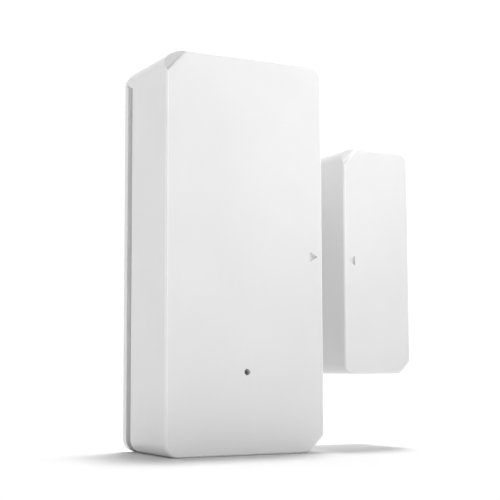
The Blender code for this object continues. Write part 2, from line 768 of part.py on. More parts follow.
def front_component(name, place, size, material):
    """A flat package on the board's front side. Size is across, off the board, up."""
    width, thickness, height = size
    x, z = place
    back = BOARD_FRONT - COMPONENT_GAP
    return block(
        name,
        (x - width / 2, back - thickness, z - height / 2),
        (x + width / 2, back, z + height / 2),
        material,
        radius=PACKAGE_EDGE,
        segments=1,
    )


def board_screw(name, place):
    """A pan-head screw with a cross recess, driven from the back."""
    x, z = place
    profile = [
        (0.0, SCREW_HEAD_HEIGHT),
        (SCREW_CROWN, SCREW_HEAD_HEIGHT),
        (SCREW_HEAD, SCREW_HEAD_SIDE),
        (SCREW_HEAD, 0.0),
        (SCREW_SHANK, 0.0),
        (SCREW_SHANK, -SCREW_LENGTH + SCREW_SHANK),
        (0.0, -SCREW_LENGTH),
    ]
    seat = BOARD_BACK + GAP / 2
    screw = turned(name, profile, (x, seat, z), TO_BACK, STEEL, steps=20)
    long, short = SCREW_CROSS, SCREW_CROSS_WIDTH / 2
    low = seat + SCREW_CROSS_FLOOR
    high = seat + SCREW_HEAD_HEIGHT + PASS
    level = block(f"{name}_slot_a", (x - long, low, z - short), (x + long, high, z + short))
    upright = block(f"{name}_slot_b", (x - short, low, z - long), (x + short, high, z + long))
    cut(screw, level, upright)
    return screw


# ---------------------------------------------------------------- reed switch
def reed_lead_ends():
    """Heights of the two board holes that the leads go into."""
    reach = REED_GLASS_LENGTH / 2 + REED_LEAD_REACH
    return (-reach, reach)


def reed_glass():
    """An open-ended glass tube drawn in around each lead."""
    half = REED_GLASS_LENGTH / 2
    bore = REED_LEAD_RADIUS + GAP / 2
    inner = REED_RADIUS - REED_GLASS_WALL
    profile = [
        (bore, half),
        (REED_NECK, half),
        (REED_RADIUS, half - REED_SEAL / 2),
        (REED_RADIUS, -half + REED_SEAL / 2),
        (REED_NECK, -half),
        (bore, -half),
        (bore, -half + REED_SEAL),
        (inner, -half + REED_SEAL + REED_TAPER),
        (inner, half - REED_SEAL - REED_TAPER),
        (bore, half - REED_SEAL),
    ]
    place = (REED_X, REED_Y, 0.0)
    return turned("reed_glass", profile, place, UPRIGHT, GLASS, steps=16, closed=True)


def reed_lead(name, direction):
    """A lead from inside the seal, out of the glass and round into its board hole."""
    half = REED_GLASS_LENGTH / 2
    end = half + REED_LEAD_REACH
    bend = REED_LEAD_BEND
    start = half - REED_SEAL + GAP
    points = [(0.0, 0.0, direction * start)]
    for i in range(REED_LEAD_BEND_STEPS + 1):
        angle = math.pi / 2 * i / REED_LEAD_BEND_STEPS
        points.append(
            (
                0.0,
                bend * (1 - math.cos(angle)),
                direction * (end - bend + bend * math.sin(angle)),
            )
        )
    points.append((0.0, BOARD_BACK - REED_Y, direction * end))
    return wire(name, points, REED_LEAD_RADIUS, STEEL, (REED_X, REED_Y, 0.0))


def reed_blade_centre(direction):
    """Depth of a blade's middle: the two lie one behind the other, almost touching."""
    return REED_Y + direction * (REED_BLADE_THICKNESS + REED_CONTACT_GAP) / 2


def fixed_reed():
    """The lower lead with its blade, in one piece."""
    lead = as_mesh(reed_lead("reed_lower_lead", -1.0))
    lead.data.materials.append(STEEL)
    middle = reed_blade_centre(-1.0)
    root = -REED_GLASS_LENGTH / 2 + REED_SEAL - BITE
    blade = block(
        "reed_fixed_blade",
        (REED_X - REED_BLADE_WIDTH / 2, middle - REED_BLADE_THICKNESS / 2, root + REED_TONGUE / 2),
        (REED_X + REED_BLADE_WIDTH / 2, middle + REED_BLADE_THICKNESS / 2, REED_OVERLAP / 2),
    )
    neck = block(
        "reed_fixed_neck",
        (REED_X - REED_LEAD_RADIUS / 2, REED_Y - REED_LEAD_RADIUS / 2, root),
        (REED_X + REED_LEAD_RADIUS / 2, REED_Y, root + REED_TONGUE),
    )
    join(lead, neck, blade)
    return lead


def reed_hinge_height():
    """Height of the point where the moving blade bends, just inside the upper seal."""
    return REED_GLASS_LENGTH / 2 - REED_SEAL - GAP


def moving_reed():
    """The upper blade. Its origin is at the seal, where it bends."""
    middle = reed_blade_centre(1.0)
    top = reed_hinge_height()
    blade = block(
        "reed_blade",
        (REED_X - REED_BLADE_WIDTH / 2, middle - REED_BLADE_THICKNESS / 2, -REED_OVERLAP / 2),
        (REED_X + REED_BLADE_WIDTH / 2, middle + REED_BLADE_THICKNESS / 2, top),
        STEEL,
    )
    return blade


# ---------------------------------------------------------------- cells, holder and contacts
def battery_holder():
    """The tray behind the board: a floor with a low ridge between the cells, sides and ends."""
    half_width = HOLDER_HALF_WIDTH
    back = HOLDER_FRONT + HOLDER_END_HEIGHT
    tray = block(
        "battery_holder",
        (-half_width, HOLDER_FRONT, HOLDER_BOTTOM),
        (half_width, back, HOLDER_TOP),
        BLACK_PLASTIC,
        radius=HOLDER_CORNER,
        segments=3,
    )
    bay_half = CELL_RADIUS + CELL_CLEARANCE
    reach = CELL_SPACING / 2 + bay_half
    for side, word in ((-1.0, "left"), (1.0, "right")):
        place = (side * CELL_SPACING / 2, CELL_Y, BAY_LOW)
        cut(tray, rod(f"bay_{word}", bay_half, place, BAY_LENGTH, UPRIGHT, sides=32))
    mouth = block("bay_mouth", (-reach, CELL_Y, BAY_LOW), (reach, back + PASS, BAY_HIGH))
    ridge = CELL_Y - CELL_RADIUS * RIDGE_BELOW_AXIS
    blunt = block(
        "ridge_top", (-RIDGE_WIDTH, ridge, BAY_LOW), (RIDGE_WIDTH, CELL_Y + PASS, BAY_HIGH)
    )
    cut(tray, mouth, blunt)
    link_half = CELL_SPACING / 2 + CONTACT_WIDTH / 2 + GAP
    link_room = block(
        "link_room",
        (-link_half, CELL_Y - CONTACT_HEIGHT / 2, BAY_HIGH - LINK_ROOM),
        (link_half, back + PASS, BAY_HIGH),
    )
    cut(tray, link_room)
    low_side = HOLDER_FRONT + HOLDER_SIDE_HEIGHT
    lowered = block(
        "holder_sides",
        (-half_width - PASS, low_side, BAY_LOW + HOLDER_WALL),
        (half_width + PASS, back + PASS, BAY_HIGH - HOLDER_WALL),
    )
    cut(tray, lowered)
    return tray


def cell_profile():
    body = CELL_LENGTH - CELL_NUB_HEIGHT
    return [
        (0.0, CELL_LENGTH),
        (CELL_NUB_RADIUS - CELL_NUB_EDGE, CELL_LENGTH),
        (CELL_NUB_RADIUS, CELL_LENGTH - CELL_NUB_EDGE),
        (CELL_NUB_RADIUS, body),
        (CELL_RADIUS - CELL_SHOULDER, body),
        (CELL_RADIUS, body - CELL_SHOULDER),
        (CELL_RADIUS, CELL_SHOULDER),
        (CELL_RADIUS - CELL_SHOULDER, 0.0),
        (0.0, 0.0),
    ]


def cell_ends(side):
    """(low, high) of a cell. The left cell stands nub up and the right one nub down."""
    room = CELL_SPRING_ROOM if side < 0 else CELL_PLATE_ROOM
    low = BAY_LOW + room
    return low, low + CELL_LENGTH


def battery(name, side):
    low, high = cell_ends(side)
    x = side * CELL_SPACING / 2
    if side < 0:
        return turned(name, cell_profile(), (x, CELL_Y, low), UPRIGHT, CELL_JACKET, steps=32)
    upside_down = (math.pi, 0.0, 0.0)
    return turned(name, cell_profile(), (x, CELL_Y, high), upside_down, CELL_JACKET, steps=32)


def contact_plate(name, left, right, at_top):
    """A flat contact against one end wall of the bays."""
    wall = BAY_HIGH - COMPONENT_GAP if at_top else BAY_LOW + COMPONENT_GAP
    inward = -CONTACT_THICKNESS if at_top else CONTACT_THICKNESS
    up = sorted((wall, wall + inward))
    return block(
        name,
        (left, CELL_Y - CONTACT_HEIGHT / 2 + GAP, up[0]),
        (right, CELL_Y + CONTACT_HEIGHT / 2, up[1]),
        STEEL,
        radius=CONTACT_CORNER,
        along="Z",
        segments=2,
    )


def contact_spring(name, side):
    """A tapered coil between a contact plate and the flat end of its cell."""
    low, high = cell_ends(side)
    base = BAY_LOW + COMPONENT_GAP + CONTACT_THICKNESS + COMPONENT_GAP + SPRING_WIRE
    tip = low - COMPONENT_GAP - SPRING_WIRE
    if side > 0:
        base = BAY_HIGH - COMPONENT_GAP - CONTACT_THICKNESS - COMPONENT_GAP - SPRING_WIRE
        tip = high + COMPONENT_GAP + SPRING_WIRE
    steps = SPRING_STEPS * SPRING_TURNS
    points = []
    for i in range(steps + 1):
        share = i / steps
        angle = 2 * math.pi * SPRING_TURNS * share
        radius = SPRING_BASE_RADIUS + (SPRING_TIP_RADIUS - SPRING_BASE_RADIUS) * share
        points.append(
            (radius * math.cos(angle), radius * math.sin(angle), (tip - base) * share)
        )
    return wire(name, points, SPRING_WIRE, STEEL, (side * CELL_SPACING / 2, CELL_Y, base))


# ---------------------------------------------------------------- lower bay: button, antenna, capacitor
def button_base():
    half = BUTTON_SIDE / 2
    z = SENSOR_BOTTOM + BUTTON_HEIGHT
    front = BOARD_BACK + COMPONENT_GAP
    base = block(
        "button_base",
        (BUTTON_X - half, front, z - half),
        (BUTTON_X + half, front + BUTTON_BASE_DEPTH, z + half),
        BLACK_PLASTIC,
        radius=BUTTON_CORNER,
        segments=2,
    )
    bore = rod(
        "button_bore",
        BUTTON_PLUNGER_RADIUS + GAP,
        (BUTTON_X, front + BUTTON_BASE_DEPTH / 2, z),
        BUTTON_BASE_DEPTH,
        TO_BACK,
    )
    cut(base, bore)
    return base


def button_plunger():
    """The part that is pressed. Its origin is at its seat, on its own axis of travel."""
    seat = BOARD_BACK + COMPONENT_GAP + BUTTON_BASE_DEPTH / 2 + BUTTON_TRAVEL + COMPONENT_GAP
    length = BUTTON_PLUNGER_LENGTH
    profile = [
        (0.0, length),
        (BUTTON_PLUNGER_RADIUS - BUTTON_PLUNGER_EDGE, length),
        (BUTTON_PLUNGER_RADIUS, length - BUTTON_PLUNGER_EDGE),
        (BUTTON_PLUNGER_RADIUS, 0.0),
        (0.0, 0.0),
    ]
    place = (BUTTON_X, seat, SENSOR_BOTTOM + BUTTON_HEIGHT)
    return turned("button_plunger", profile, place, TO_BACK, WHITE_PLASTIC)


def antenna_coil():
    """A helical wire antenna that lies across the board, with one leg down to it."""
    centre = BOARD_BACK + COMPONENT_GAP + 2 * ANTENNA_WIRE + ANTENNA_RADIUS
    count = ANTENNA_STEPS * ANTENNA_TURNS
    points = [(0.0, BOARD_BACK + COMPONENT_GAP + ANTENNA_WIRE - centre, ANTENNA_RADIUS)]
    for i in range(count + 1):
        angle = 2 * math.pi * i / ANTENNA_STEPS
        points.append(
            (
                ANTENNA_PITCH * i / ANTENNA_STEPS,
                ANTENNA_RADIUS * math.sin(angle),
                ANTENNA_RADIUS * math.cos(angle),
            )
        )
    place = (ANTENNA_START_X, centre, SENSOR_BOTTOM + ANTENNA_HEIGHT)
    return wire("antenna_coil", points, ANTENNA_WIRE, COPPER, place)


def capacitor():
    """An upright can with a groove near its foot."""
    groove = CAPACITOR_GROOVE
    profile = [
        (0.0, CAPACITOR_LENGTH),
        (CAPACITOR_RADIUS - groove, CAPACITOR_LENGTH),
        (CAPACITOR_RADIUS, CAPACITOR_LENGTH - groove),
        (CAPACITOR_RADIUS, 5 * groove),
        (CAPACITOR_RADIUS - groove, 4 * groove),
        (CAPACITOR_RADIUS, 3 * groove),
        (CAPACITOR_RADIUS, 0.0),
        (0.0, 0.0),
    ]
    place = (0.0, BOARD_BACK + COMPONENT_GAP, SENSOR_BOTTOM + CAPACITOR_HEIGHT)
    return turned("capacitor", profile, place, TO_BACK, STEEL, steps=20)


# ---------------------------------------------------------------- magnet unit
def magnet_shell():
    back = -(PAD_THICKNESS + MAGNET_COVER_PLATE + GAP)
    half = MAGNET_HEIGHT / 2
    shell = case_body(
        "magnet_shell",
        (MAGNET_LEFT, MAGNET_FRONT, -half),
        (MAGNET_LEFT + MAGNET_WIDTH, back, half),
        (MAGNET_CORNER, MAGNET_CUT_CORNER),
        MAGNET_CUT,
        MAGNET_STRAIGHT_CUT,
    )
    hollow = cornered_block(
        "magnet_hollow",
        (MAGNET_LEFT + MAGNET_WALL, MAGNET_FRONT + MAGNET_FRONT_WALL, MAGNET_WALL - half),
        (MAGNET_LEFT + MAGNET_WIDTH - MAGNET_WALL, back + PASS, half - MAGNET_WALL),
        max(MAGNET_CORNER - MAGNET_WALL, INNER_CORNER_LEAST),
        inner_leg(MAGNET_STRAIGHT_CUT, MAGNET_WALL),
    )
    cut(shell, hollow)
    join(shell, *magnet_ribs())
    mark = alignment_mark("magnet_mark", MAGNET_LEFT + MAGNET_MARK_INSET, False, MAGNET_FRONT)
    cut(shell, mark)
    return shell


def bar_box():
    """(low, high) of the bar magnet, against the wall that faces the sensor."""
    left = MAGNET_LEFT + MAGNET_WALL + GAP
    front = MAGNET_FRONT + MAGNET_FRONT_WALL + GAP
    low = (left, front, -BAR_HEIGHT / 2)
    return low, (left + BAR_WIDTH, front + BAR_DEPTH, BAR_HEIGHT / 2)


def magnet_ribs():
    """Ribs on the shell's front wall that box the bar magnet in."""
    low, high = bar_box()
    inner_left = MAGNET_LEFT + MAGNET_WALL - BITE
    front = MAGNET_FRONT + MAGNET_FRONT_WALL - BITE
    back = low[1] + RIB_DEPTH
    ribs = [
        block(
            "rib_side",
            (high[0] + GAP, front, low[2]),
            (high[0] + GAP + RIB_THICKNESS, back, high[2]),
        )
    ]
    for word, start in (("low", low[2] - GAP - RIB_THICKNESS), ("high", high[2] + GAP)):
        ribs.append(
            block(
                f"rib_{word}",
                (inner_left, front, start),
                (high[0] + GAP + RIB_THICKNESS + BITE, back + BITE, start + RIB_THICKNESS),
            )
        )
    return ribs


def bar_magnet():
    low, high = bar_box()
    return block("bar_magnet", low, high, MAGNET_PLATING, radius=BAR_EDGE, along="Z", segments=2)


def magnet_cover():
    """A plate with a shallow rim that plugs into the shell's open back."""
    front = -(PAD_THICKNESS + MAGNET_COVER_PLATE)
    half = MAGNET_HEIGHT / 2
    right = MAGNET_LEFT + MAGNET_WIDTH
    cover = cornered_block(
        "magnet_cover",
        (MAGNET_LEFT, front, -half),
        (right, -PAD_THICKNESS, half),
        MAGNET_CORNER,
        MAGNET_STRAIGHT_CUT,
        WHITE_PLASTIC,
    )
    inset = MAGNET_WALL + GAP
    rim = cornered_block(
        "magnet_cover_rim",
        (MAGNET_LEFT + inset, front - MAGNET_COVER_RIM, -half + inset),
        (right - inset, front + BITE, half - inset),
        max(MAGNET_CORNER - inset, INNER_CORNER_LEAST),
        inner_leg(MAGNET_STRAIGHT_CUT, inset),
    )
    inset += MAGNET_COVER_RIM_WALL
    inside = block(
        "magnet_cover_rim_inside",
        (MAGNET_LEFT + inset, front - MAGNET_COVER_RIM - PASS, -half + inset),
        (right - inset, front, half - inset),
    )
    cut(rim, inside)
    join(cover, rim)
    return cover


# ---------------------------------------------------------------- assembly
def build():
    cell_reach = CELL_SPACING / 2
    contact_half = CONTACT_WIDTH / 2
    cover_on_frame = holder_empty("cover_on_frame")
    sensor_unit = holder_empty("sensor_unit")
    magnet_unit = holder_empty("magnet_unit", (MAGNET_X, 0.0, 0.0))
    button = holder_empty(
        "pairing_button", (BUTTON_X, BOARD_BACK + BUTTON_BASE_DEPTH, SENSOR_BOTTOM + BUTTON_HEIGHT)
    )
    reed_hinge = holder_empty(
        "reed_hinge", (REED_X, reed_blade_centre(1.0), reed_hinge_height())
    )

    attach(
        cover_on_frame,
        back_cover(),
        pad("sensor_pad", 0.0, SENSOR_PAD),
    )
    lamp_size = (LAMP_LENGTH, LAMP_HEIGHT, LAMP_WIDTH)
    lamp_place = (0.0, SENSOR_BOTTOM + PINHOLE_HEIGHT)
    screws = [
        board_screw(f"board_screw_{word}", place)
        for word, place in zip(("left", "right"), screw_places())
    ]
    attach(
        sensor_unit,
        front_shell(),
        light_guide(),
        circuit_board(),
        front_component("status_lamp", lamp_place, lamp_size, LAMP_BODY),
        front_component("radio_chip", RADIO_PLACE, RADIO_SIZE, CHIP_BLACK),
        front_component("controller_chip", CONTROLLER_PLACE, CONTROLLER_SIZE, CHIP_BLACK),
        front_component("crystal", CRYSTAL_PLACE, CRYSTAL_SIZE, STEEL),
        *screws,
        reed_glass(),
        fixed_reed(),
        reed_lead("reed_upper_lead", 1.0),
        battery_holder(),
        battery("battery_left", -1.0),
        battery("battery_right", 1.0),
        contact_plate("negative_plate", -cell_reach - contact_half, -cell_reach + contact_half, False),
        contact_plate("positive_plate", cell_reach - contact_half, cell_reach + contact_half, False),
        contact_plate("link_plate", -cell_reach - contact_half, cell_reach + contact_half, True),
        contact_spring("spring_lower", -1.0),
        contact_spring("spring_upper", 1.0),
        button_base(),
        antenna_coil(),
        capacitor(),
    )
    attach(button, button_plunger())
    attach(reed_hinge, moving_reed())
    attach(sensor_unit, button, reed_hinge)
    attach(
        magnet_unit,
        magnet_shell(),
        bar_magnet(),
        magnet_cover(),
        pad("magnet_pad", MAGNET_X, MAGNET_PAD),
    )


build()
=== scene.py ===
import math

import bpy
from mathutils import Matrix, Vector


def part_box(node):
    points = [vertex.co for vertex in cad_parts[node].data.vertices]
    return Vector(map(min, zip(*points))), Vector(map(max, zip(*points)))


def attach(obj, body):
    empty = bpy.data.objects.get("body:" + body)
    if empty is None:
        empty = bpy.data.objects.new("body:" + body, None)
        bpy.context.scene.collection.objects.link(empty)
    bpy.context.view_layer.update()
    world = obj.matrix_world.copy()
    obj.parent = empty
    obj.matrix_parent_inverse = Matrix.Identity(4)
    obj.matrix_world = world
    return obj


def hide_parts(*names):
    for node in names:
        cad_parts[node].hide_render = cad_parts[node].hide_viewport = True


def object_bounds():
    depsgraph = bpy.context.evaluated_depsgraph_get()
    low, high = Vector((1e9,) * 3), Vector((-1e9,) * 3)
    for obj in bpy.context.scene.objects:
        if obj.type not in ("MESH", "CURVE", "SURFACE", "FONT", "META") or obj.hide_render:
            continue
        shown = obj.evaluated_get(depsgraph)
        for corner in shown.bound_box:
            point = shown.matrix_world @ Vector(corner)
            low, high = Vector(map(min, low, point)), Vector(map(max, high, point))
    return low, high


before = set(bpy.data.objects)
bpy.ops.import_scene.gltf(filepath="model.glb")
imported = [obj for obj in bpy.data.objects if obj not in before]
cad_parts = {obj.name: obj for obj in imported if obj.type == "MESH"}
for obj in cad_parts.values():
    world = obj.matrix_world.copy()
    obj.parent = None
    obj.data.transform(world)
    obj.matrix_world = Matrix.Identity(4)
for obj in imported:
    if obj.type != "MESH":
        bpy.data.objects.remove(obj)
bpy.context.view_layer.update()
CAD_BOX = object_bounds()

# ---------------------------------------------------------------- camera
# The camera stands low and to the left in front of the sensor, and looks slightly up at it. Its
# place is measured from the case's lower left front corner.
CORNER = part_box("front_shell")[0]
CAMERA_FROM_CORNER = Vector((-0.08038, -0.18323, 0.01534))
CAMERA_FORWARD = Vector((0.4637, 0.8806, 0.0978))
CAMERA_UP = Vector((-0.0425, -0.0882, 0.9952))
CAMERA_LENS_MM = 85.2
CAMERA_SENSOR_MM = 36.0
CAMERA_NEAREST = 0.005
CAMERA_FARTHEST = 20.0

scene = bpy.context.scene
camera_data = bpy.data.cameras.new("camera")
camera_data.lens = CAMERA_LENS_MM
camera_data.sensor_width = CAMERA_SENSOR_MM
camera_data.clip_start = CAMERA_NEAREST
camera_data.clip_end = CAMERA_FARTHEST
camera = bpy.data.objects.new("camera", camera_data)
scene.collection.objects.link(camera)
scene.camera = camera
back_axis = -CAMERA_FORWARD.normalized()
right_axis = CAMERA_UP.cross(back_axis).normalized()
up_axis = back_axis.cross(right_axis)
turn = camera.matrix_world.to_3x3()
for row in range(3):
    turn[row][0] = right_axis[row]
    turn[row][1] = up_axis[row]
    turn[row][2] = back_axis[row]
camera.matrix_world = turn.to_4x4()
camera.location = CORNER + CAMERA_FROM_CORNER
scene.view_settings.view_transform = "Standard"
scene.view_settings.look = "None"

# ---------------------------------------------------------------- sky
# White light comes from all round, as in a studio with white walls. It is even but for one part, up
# and to the left in front, where it fades to nothing.
SKY_WHITE = (1.0, 1.0, 1.0, 1.0)
SKY_LEVEL = 1.04
SKY_DARK_AMOUNT = 1.04
SKY_DARK_TOWARDS = Vector((-0.50, -0.62, 0.60)).normalized()
SKY_DARK_START = 0.10
SKY_DARK_END = 0.90

world = bpy.data.worlds.new("studio")
scene.world = world
world.use_nodes = True
tree = world.node_tree
tree.nodes.clear()
direction = tree.nodes.new("ShaderNodeTexCoord")
towards = tree.nodes.new("ShaderNodeVectorMath")
towards.operation = "DOT_PRODUCT"
towards.inputs[1].default_value = SKY_DARK_TOWARDS
ramp = tree.nodes.new("ShaderNodeMapRange")
ramp.interpolation_type = "SMOOTHSTEP"
ramp.inputs["From Min"].default_value = SKY_DARK_START
ramp.inputs["From Max"].default_value = SKY_DARK_END
ramp.inputs["To Min"].default_value = SKY_LEVEL
ramp.inputs["To Max"].default_value = SKY_LEVEL - SKY_DARK_AMOUNT
sky = tree.nodes.new("ShaderNodeBackground")
sky.inputs["Color"].default_value = SKY_WHITE
sky_out = tree.nodes.new("ShaderNodeOutputWorld")
tree.links.new(direction.outputs["Generated"], towards.inputs[0])
tree.links.new(towards.outputs["Value"], ramp.inputs["Value"])
tree.links.new(ramp.outputs["Result"], sky.inputs["Strength"])
tree.links.new(sky.outputs["Background"], sky_out.inputs["Surface"])

# ---------------------------------------------------------------- lamps
# Four softboxes light the object: a key at the upper right with a grid on it, a box and a narrow
# strip at the left, and a low fill in front. A lamp overhead throws the soft shadow on the floor.
CENTRE = (CAD_BOX[0] + CAD_BOX[1]) / 2
KEY_AIM = Vector((-0.010, -0.019, 0.025))
KEY_GRID = math.radians(76.0)
OVERHEAD_TOWARDS = Vector((0.14, 0.14, 0.98)).normalized()
OVERHEAD_SPREAD = math.radians(12.0)
OVERHEAD_LEVEL = 0.54


def add_softbox(name, towards, distance, width, height, level):
    """A soft light aimed at the object. The level is what it adds to a face turned to it."""
    data = bpy.data.lights.new(name, "AREA")
    data.shape = "RECTANGLE"
    data.size = width
    data.size_y = height
    data.energy = level * (math.pi * distance) ** 2
    light = bpy.data.objects.new(name, data)
    scene.collection.objects.link(light)
    towards = Vector(towards).normalized()
    light.location = CENTRE + towards * distance
    light.rotation_euler = towards.to_track_quat("Z", "Y").to_euler()
    return light


key = add_softbox(
    "softbox_key", towards=(0.55, -0.50, 0.67), distance=0.17, width=0.08, height=0.08, level=0.150
)
key.data.spread = KEY_GRID
key.visible_glossy = False
key.rotation_euler = (key.location - KEY_AIM).to_track_quat("Z", "Y").to_euler()
left_box = add_softbox(
    "softbox_left", towards=(-0.90, 0.42, 0.02), distance=0.50, width=0.25, height=0.40, level=0.24
)
left_strip = add_softbox(
    "strip_left", towards=(-0.88, -0.46, 0.02), distance=0.50, width=0.03, height=0.60, level=0.11
)
low_fill = add_softbox(
    "softbox_low", towards=(-0.08, -0.98, -0.10), distance=0.14, width=0.16, height=0.03, level=0.15
)
low_fill.visible_glossy = False

overhead_data = bpy.data.lights.new("overhead", "SUN")
overhead_data.energy = OVERHEAD_LEVEL * math.pi
overhead_data.angle = OVERHEAD_SPREAD
overhead = bpy.data.objects.new("overhead", overhead_data)
scene.collection.objects.link(overhead)
overhead.visible_glossy = False
overhead.rotation_euler = OVERHEAD_TOWARDS.to_track_quat("Z", "Y").to_euler()

# ---------------------------------------------------------------- floor
# The floor is a matt white sheet that runs out of sight. The softboxes leave it out, so the sky and
# the overhead lamp keep it an even white, with nothing on it but a soft shadow.
FLOOR_SIZE = 6.0
FLOOR_WHITE = (0.97, 0.97, 0.97, 1.0)
FLOOR_ROUGHNESS = 0.9
FLOOR_SHINE = 0.1

bpy.ops.object.select_all(action="DESELECT")
bpy.ops.mesh.primitive_plane_add(size=FLOOR_SIZE, location=(0.0, 0.0, CAD_BOX[0].z))
floor = bpy.context.object
floor.name = "floor"
floor_paint = bpy.data.materials.new("floor_paint")
floor_paint.use_nodes = True
floor_shader = floor_paint.node_tree.nodes["Principled BSDF"]
floor_shader.inputs["Base Color"].default_value = FLOOR_WHITE
floor_shader.inputs["Roughness"].default_value = FLOOR_ROUGHNESS
floor_shader.inputs["Specular IOR Level"].default_value = FLOOR_SHINE
floor.data.materials.append(floor_paint)
unlit_floor = bpy.data.collections.new("unlit_floor")
unlit_floor.objects.link(floor)
unlit_floor.collection_objects[0].light_linking.link_state = "EXCLUDE"
for softbox in (key, left_box, left_strip, low_fill):
    softbox.light_linking.receiver_collection = unlit_floor

# ---------------------------------------------------------------- moulded cases
# The sensor's shell and wall cover and the magnet's shell and cover are injection moulded in white
# ABS. The tool leaves a fine satin texture on the faces and a small radius on every edge.
PLASTIC_COLOUR = (0.76, 0.76, 0.76, 1.0)
PLASTIC_TINT = (0.735, 0.735, 0.735, 1.0)
PLASTIC_GRAIN = 5200.0
PLASTIC_CLOUD = 55.0
MOULDED_EDGE = 0.00006
MERGE_DISTANCE = 0.000001
FLAT_ANGLE = math.radians(0.6)
SHARP_ANGLE = math.radians(38.0)
NOISE_LOW = 0.3
NOISE_HIGH = 0.7


def clear_selection():
    bpy.ops.object.select_all(action="DESELECT")


def refined_copy(node, name, edge_radius, smooth_levels):
    """A merged copy of a CAD node, with its edges softened or its surface subdivided."""
    clear_selection()
    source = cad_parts[node]
    piece = source.copy()
    piece.data = source.data.copy()
    piece.name = name
    piece.data.name = name
    piece.parent = None
    scene.collection.objects.link(piece)
    piece.select_set(True)
    bpy.context.view_layer.objects.active = piece
    bpy.ops.object.mode_set(mode="EDIT")
    bpy.ops.mesh.select_all(action="SELECT")
    bpy.ops.mesh.remove_doubles(threshold=MERGE_DISTANCE)
    if not smooth_levels:
        bpy.ops.mesh.dissolve_limited(angle_limit=FLAT_ANGLE)
    bpy.ops.object.mode_set(mode="OBJECT")
    bpy.ops.mesh.customdata_custom_splitnormals_clear()
    if edge_radius:
        soften = piece.modifiers.new("soften", "BEVEL")
        soften.width = edge_radius
        soften.segments = 2
        soften.limit_method = "ANGLE"
        soften.angle_limit = SHARP_ANGLE
        soften.use_clamp_overlap = True
        bpy.ops.object.modifier_apply(modifier=soften.name)
    if smooth_levels:
        subdivide = piece.modifiers.new("subdivide", "SUBSURF")
        subdivide.levels = smooth_levels
        subdivide.render_levels = smooth_levels
        bpy.ops.object.modifier_apply(modifier=subdivide.name)
    bpy.ops.object.shade_smooth_by_angle(angle=SHARP_ANGLE)
    settle = piece.modifiers.new("settle", "WEIGHTED_NORMAL")
    settle.keep_sharp = True
    bpy.ops.object.modifier_apply(modifier=settle.name)
    clear_selection()
    return piece


def finish_piece(piece, body, material):
    """Gives a piece its material and its slot, and makes it ride on its body."""
    piece.data.materials.clear()
    piece.data.materials.append(material)
    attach(piece, body)
    return piece


def dressed(node, name, body, material, edge_radius=0.0, smooth_levels=0):
    """A refined copy that stands for a CAD node, in its finish, on its body."""
    piece = refined_copy(node, name, edge_radius, smooth_levels)
    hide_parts(node)
    return finish_piece(piece, body, material)


def new_finish(name):
    """A new material, with its node tree and its shader."""
    material = bpy.data.materials.new(name)
    material.use_nodes = True
    return material, material.node_tree, material.node_tree.nodes["Principled BSDF"]


def add_noise(tree, scale, detail):
    """A noise on the piece's object coordinates, with this many waves in a metre."""
    coordinates = tree.nodes.new("ShaderNodeTexCoord")
    noise = tree.nodes.new("ShaderNodeTexNoise")
    noise.inputs["Scale"].default_value = scale
    noise.inputs["Detail"].default_value = detail
    tree.links.new(coordinates.outputs["Object"], noise.inputs["Vector"])
    return noise.outputs["Fac"]


def vary_colour(tree, shader, factor, first, second, low=0.35, high=0.65):
    """Blends the base colour from the first to the second as the factor goes from low to high."""
    ramp = tree.nodes.new("ShaderNodeValToRGB")
    ramp.color_ramp.elements[0].position = low
    ramp.color_ramp.elements[1].position = high
    ramp.color_ramp.elements[0].color = first
    ramp.color_ramp.elements[1].color = second
    tree.links.new(factor, ramp.inputs["Fac"])
    tree.links.new(ramp.outputs["Color"], shader.inputs["Base Color"])
    return ramp


def vary_roughness(tree, shader, factor, low, high):
    """Spreads the roughness from low to high over the noise's usual range."""
    spread = tree.nodes.new("ShaderNodeMapRange")
    spread.inputs["From Min"].default_value = NOISE_LOW
    spread.inputs["From Max"].default_value = NOISE_HIGH
    spread.inputs["To Min"].default_value = low
    spread.inputs["To Max"].default_value = high
    tree.links.new(factor, spread.inputs["Value"])
    tree.links.new(spread.outputs["Result"], shader.inputs["Roughness"])


def add_bump(tree, shader, height, strength, distance):
    bump = tree.nodes.new("ShaderNodeBump")
    bump.inputs["Strength"].default_value = strength
    bump.inputs["Distance"].default_value = distance
    tree.links.new(height, bump.inputs["Height"])
    tree.links.new(bump.outputs["Normal"], shader.inputs["Normal"])


white_abs, tree, shader = new_finish("white_abs")
shader.inputs["IOR"].default_value = 1.5
cloud = add_noise(tree, PLASTIC_CLOUD, detail=3.0)
moulded = vary_colour(tree, shader, cloud, PLASTIC_TINT, PLASTIC_COLOUR)
# Painted light: a face attribute scales the base colour, so the rounding round each front carries a
# painted highlight or painted shade.
painted_edge_light = tree.nodes.new("ShaderNodeAttribute")
painted_edge_light.attribute_name = "painted_edge_light"
painted_light_factor = tree.nodes.new("ShaderNodeMath")
painted_light_factor.inputs[1].default_value = 1.0
painted_edge_colour = tree.nodes.new("ShaderNodeVectorMath")
painted_edge_colour.operation = "SCALE"
tree.links.new(painted_edge_light.outputs["Fac"], painted_light_factor.inputs[0])
tree.links.new(painted_light_factor.outputs["Value"], painted_edge_colour.inputs["Scale"])
tree.links.new(moulded.outputs["Color"], painted_edge_colour.inputs[0])
tree.links.new(painted_edge_colour.outputs["Vector"], shader.inputs["Base Color"])
vary_roughness(tree, shader, cloud, low=0.29, high=0.36)
grain = add_noise(tree, PLASTIC_GRAIN, detail=2.0)
add_bump(tree, shader, grain, strength=0.18, distance=0.000012)
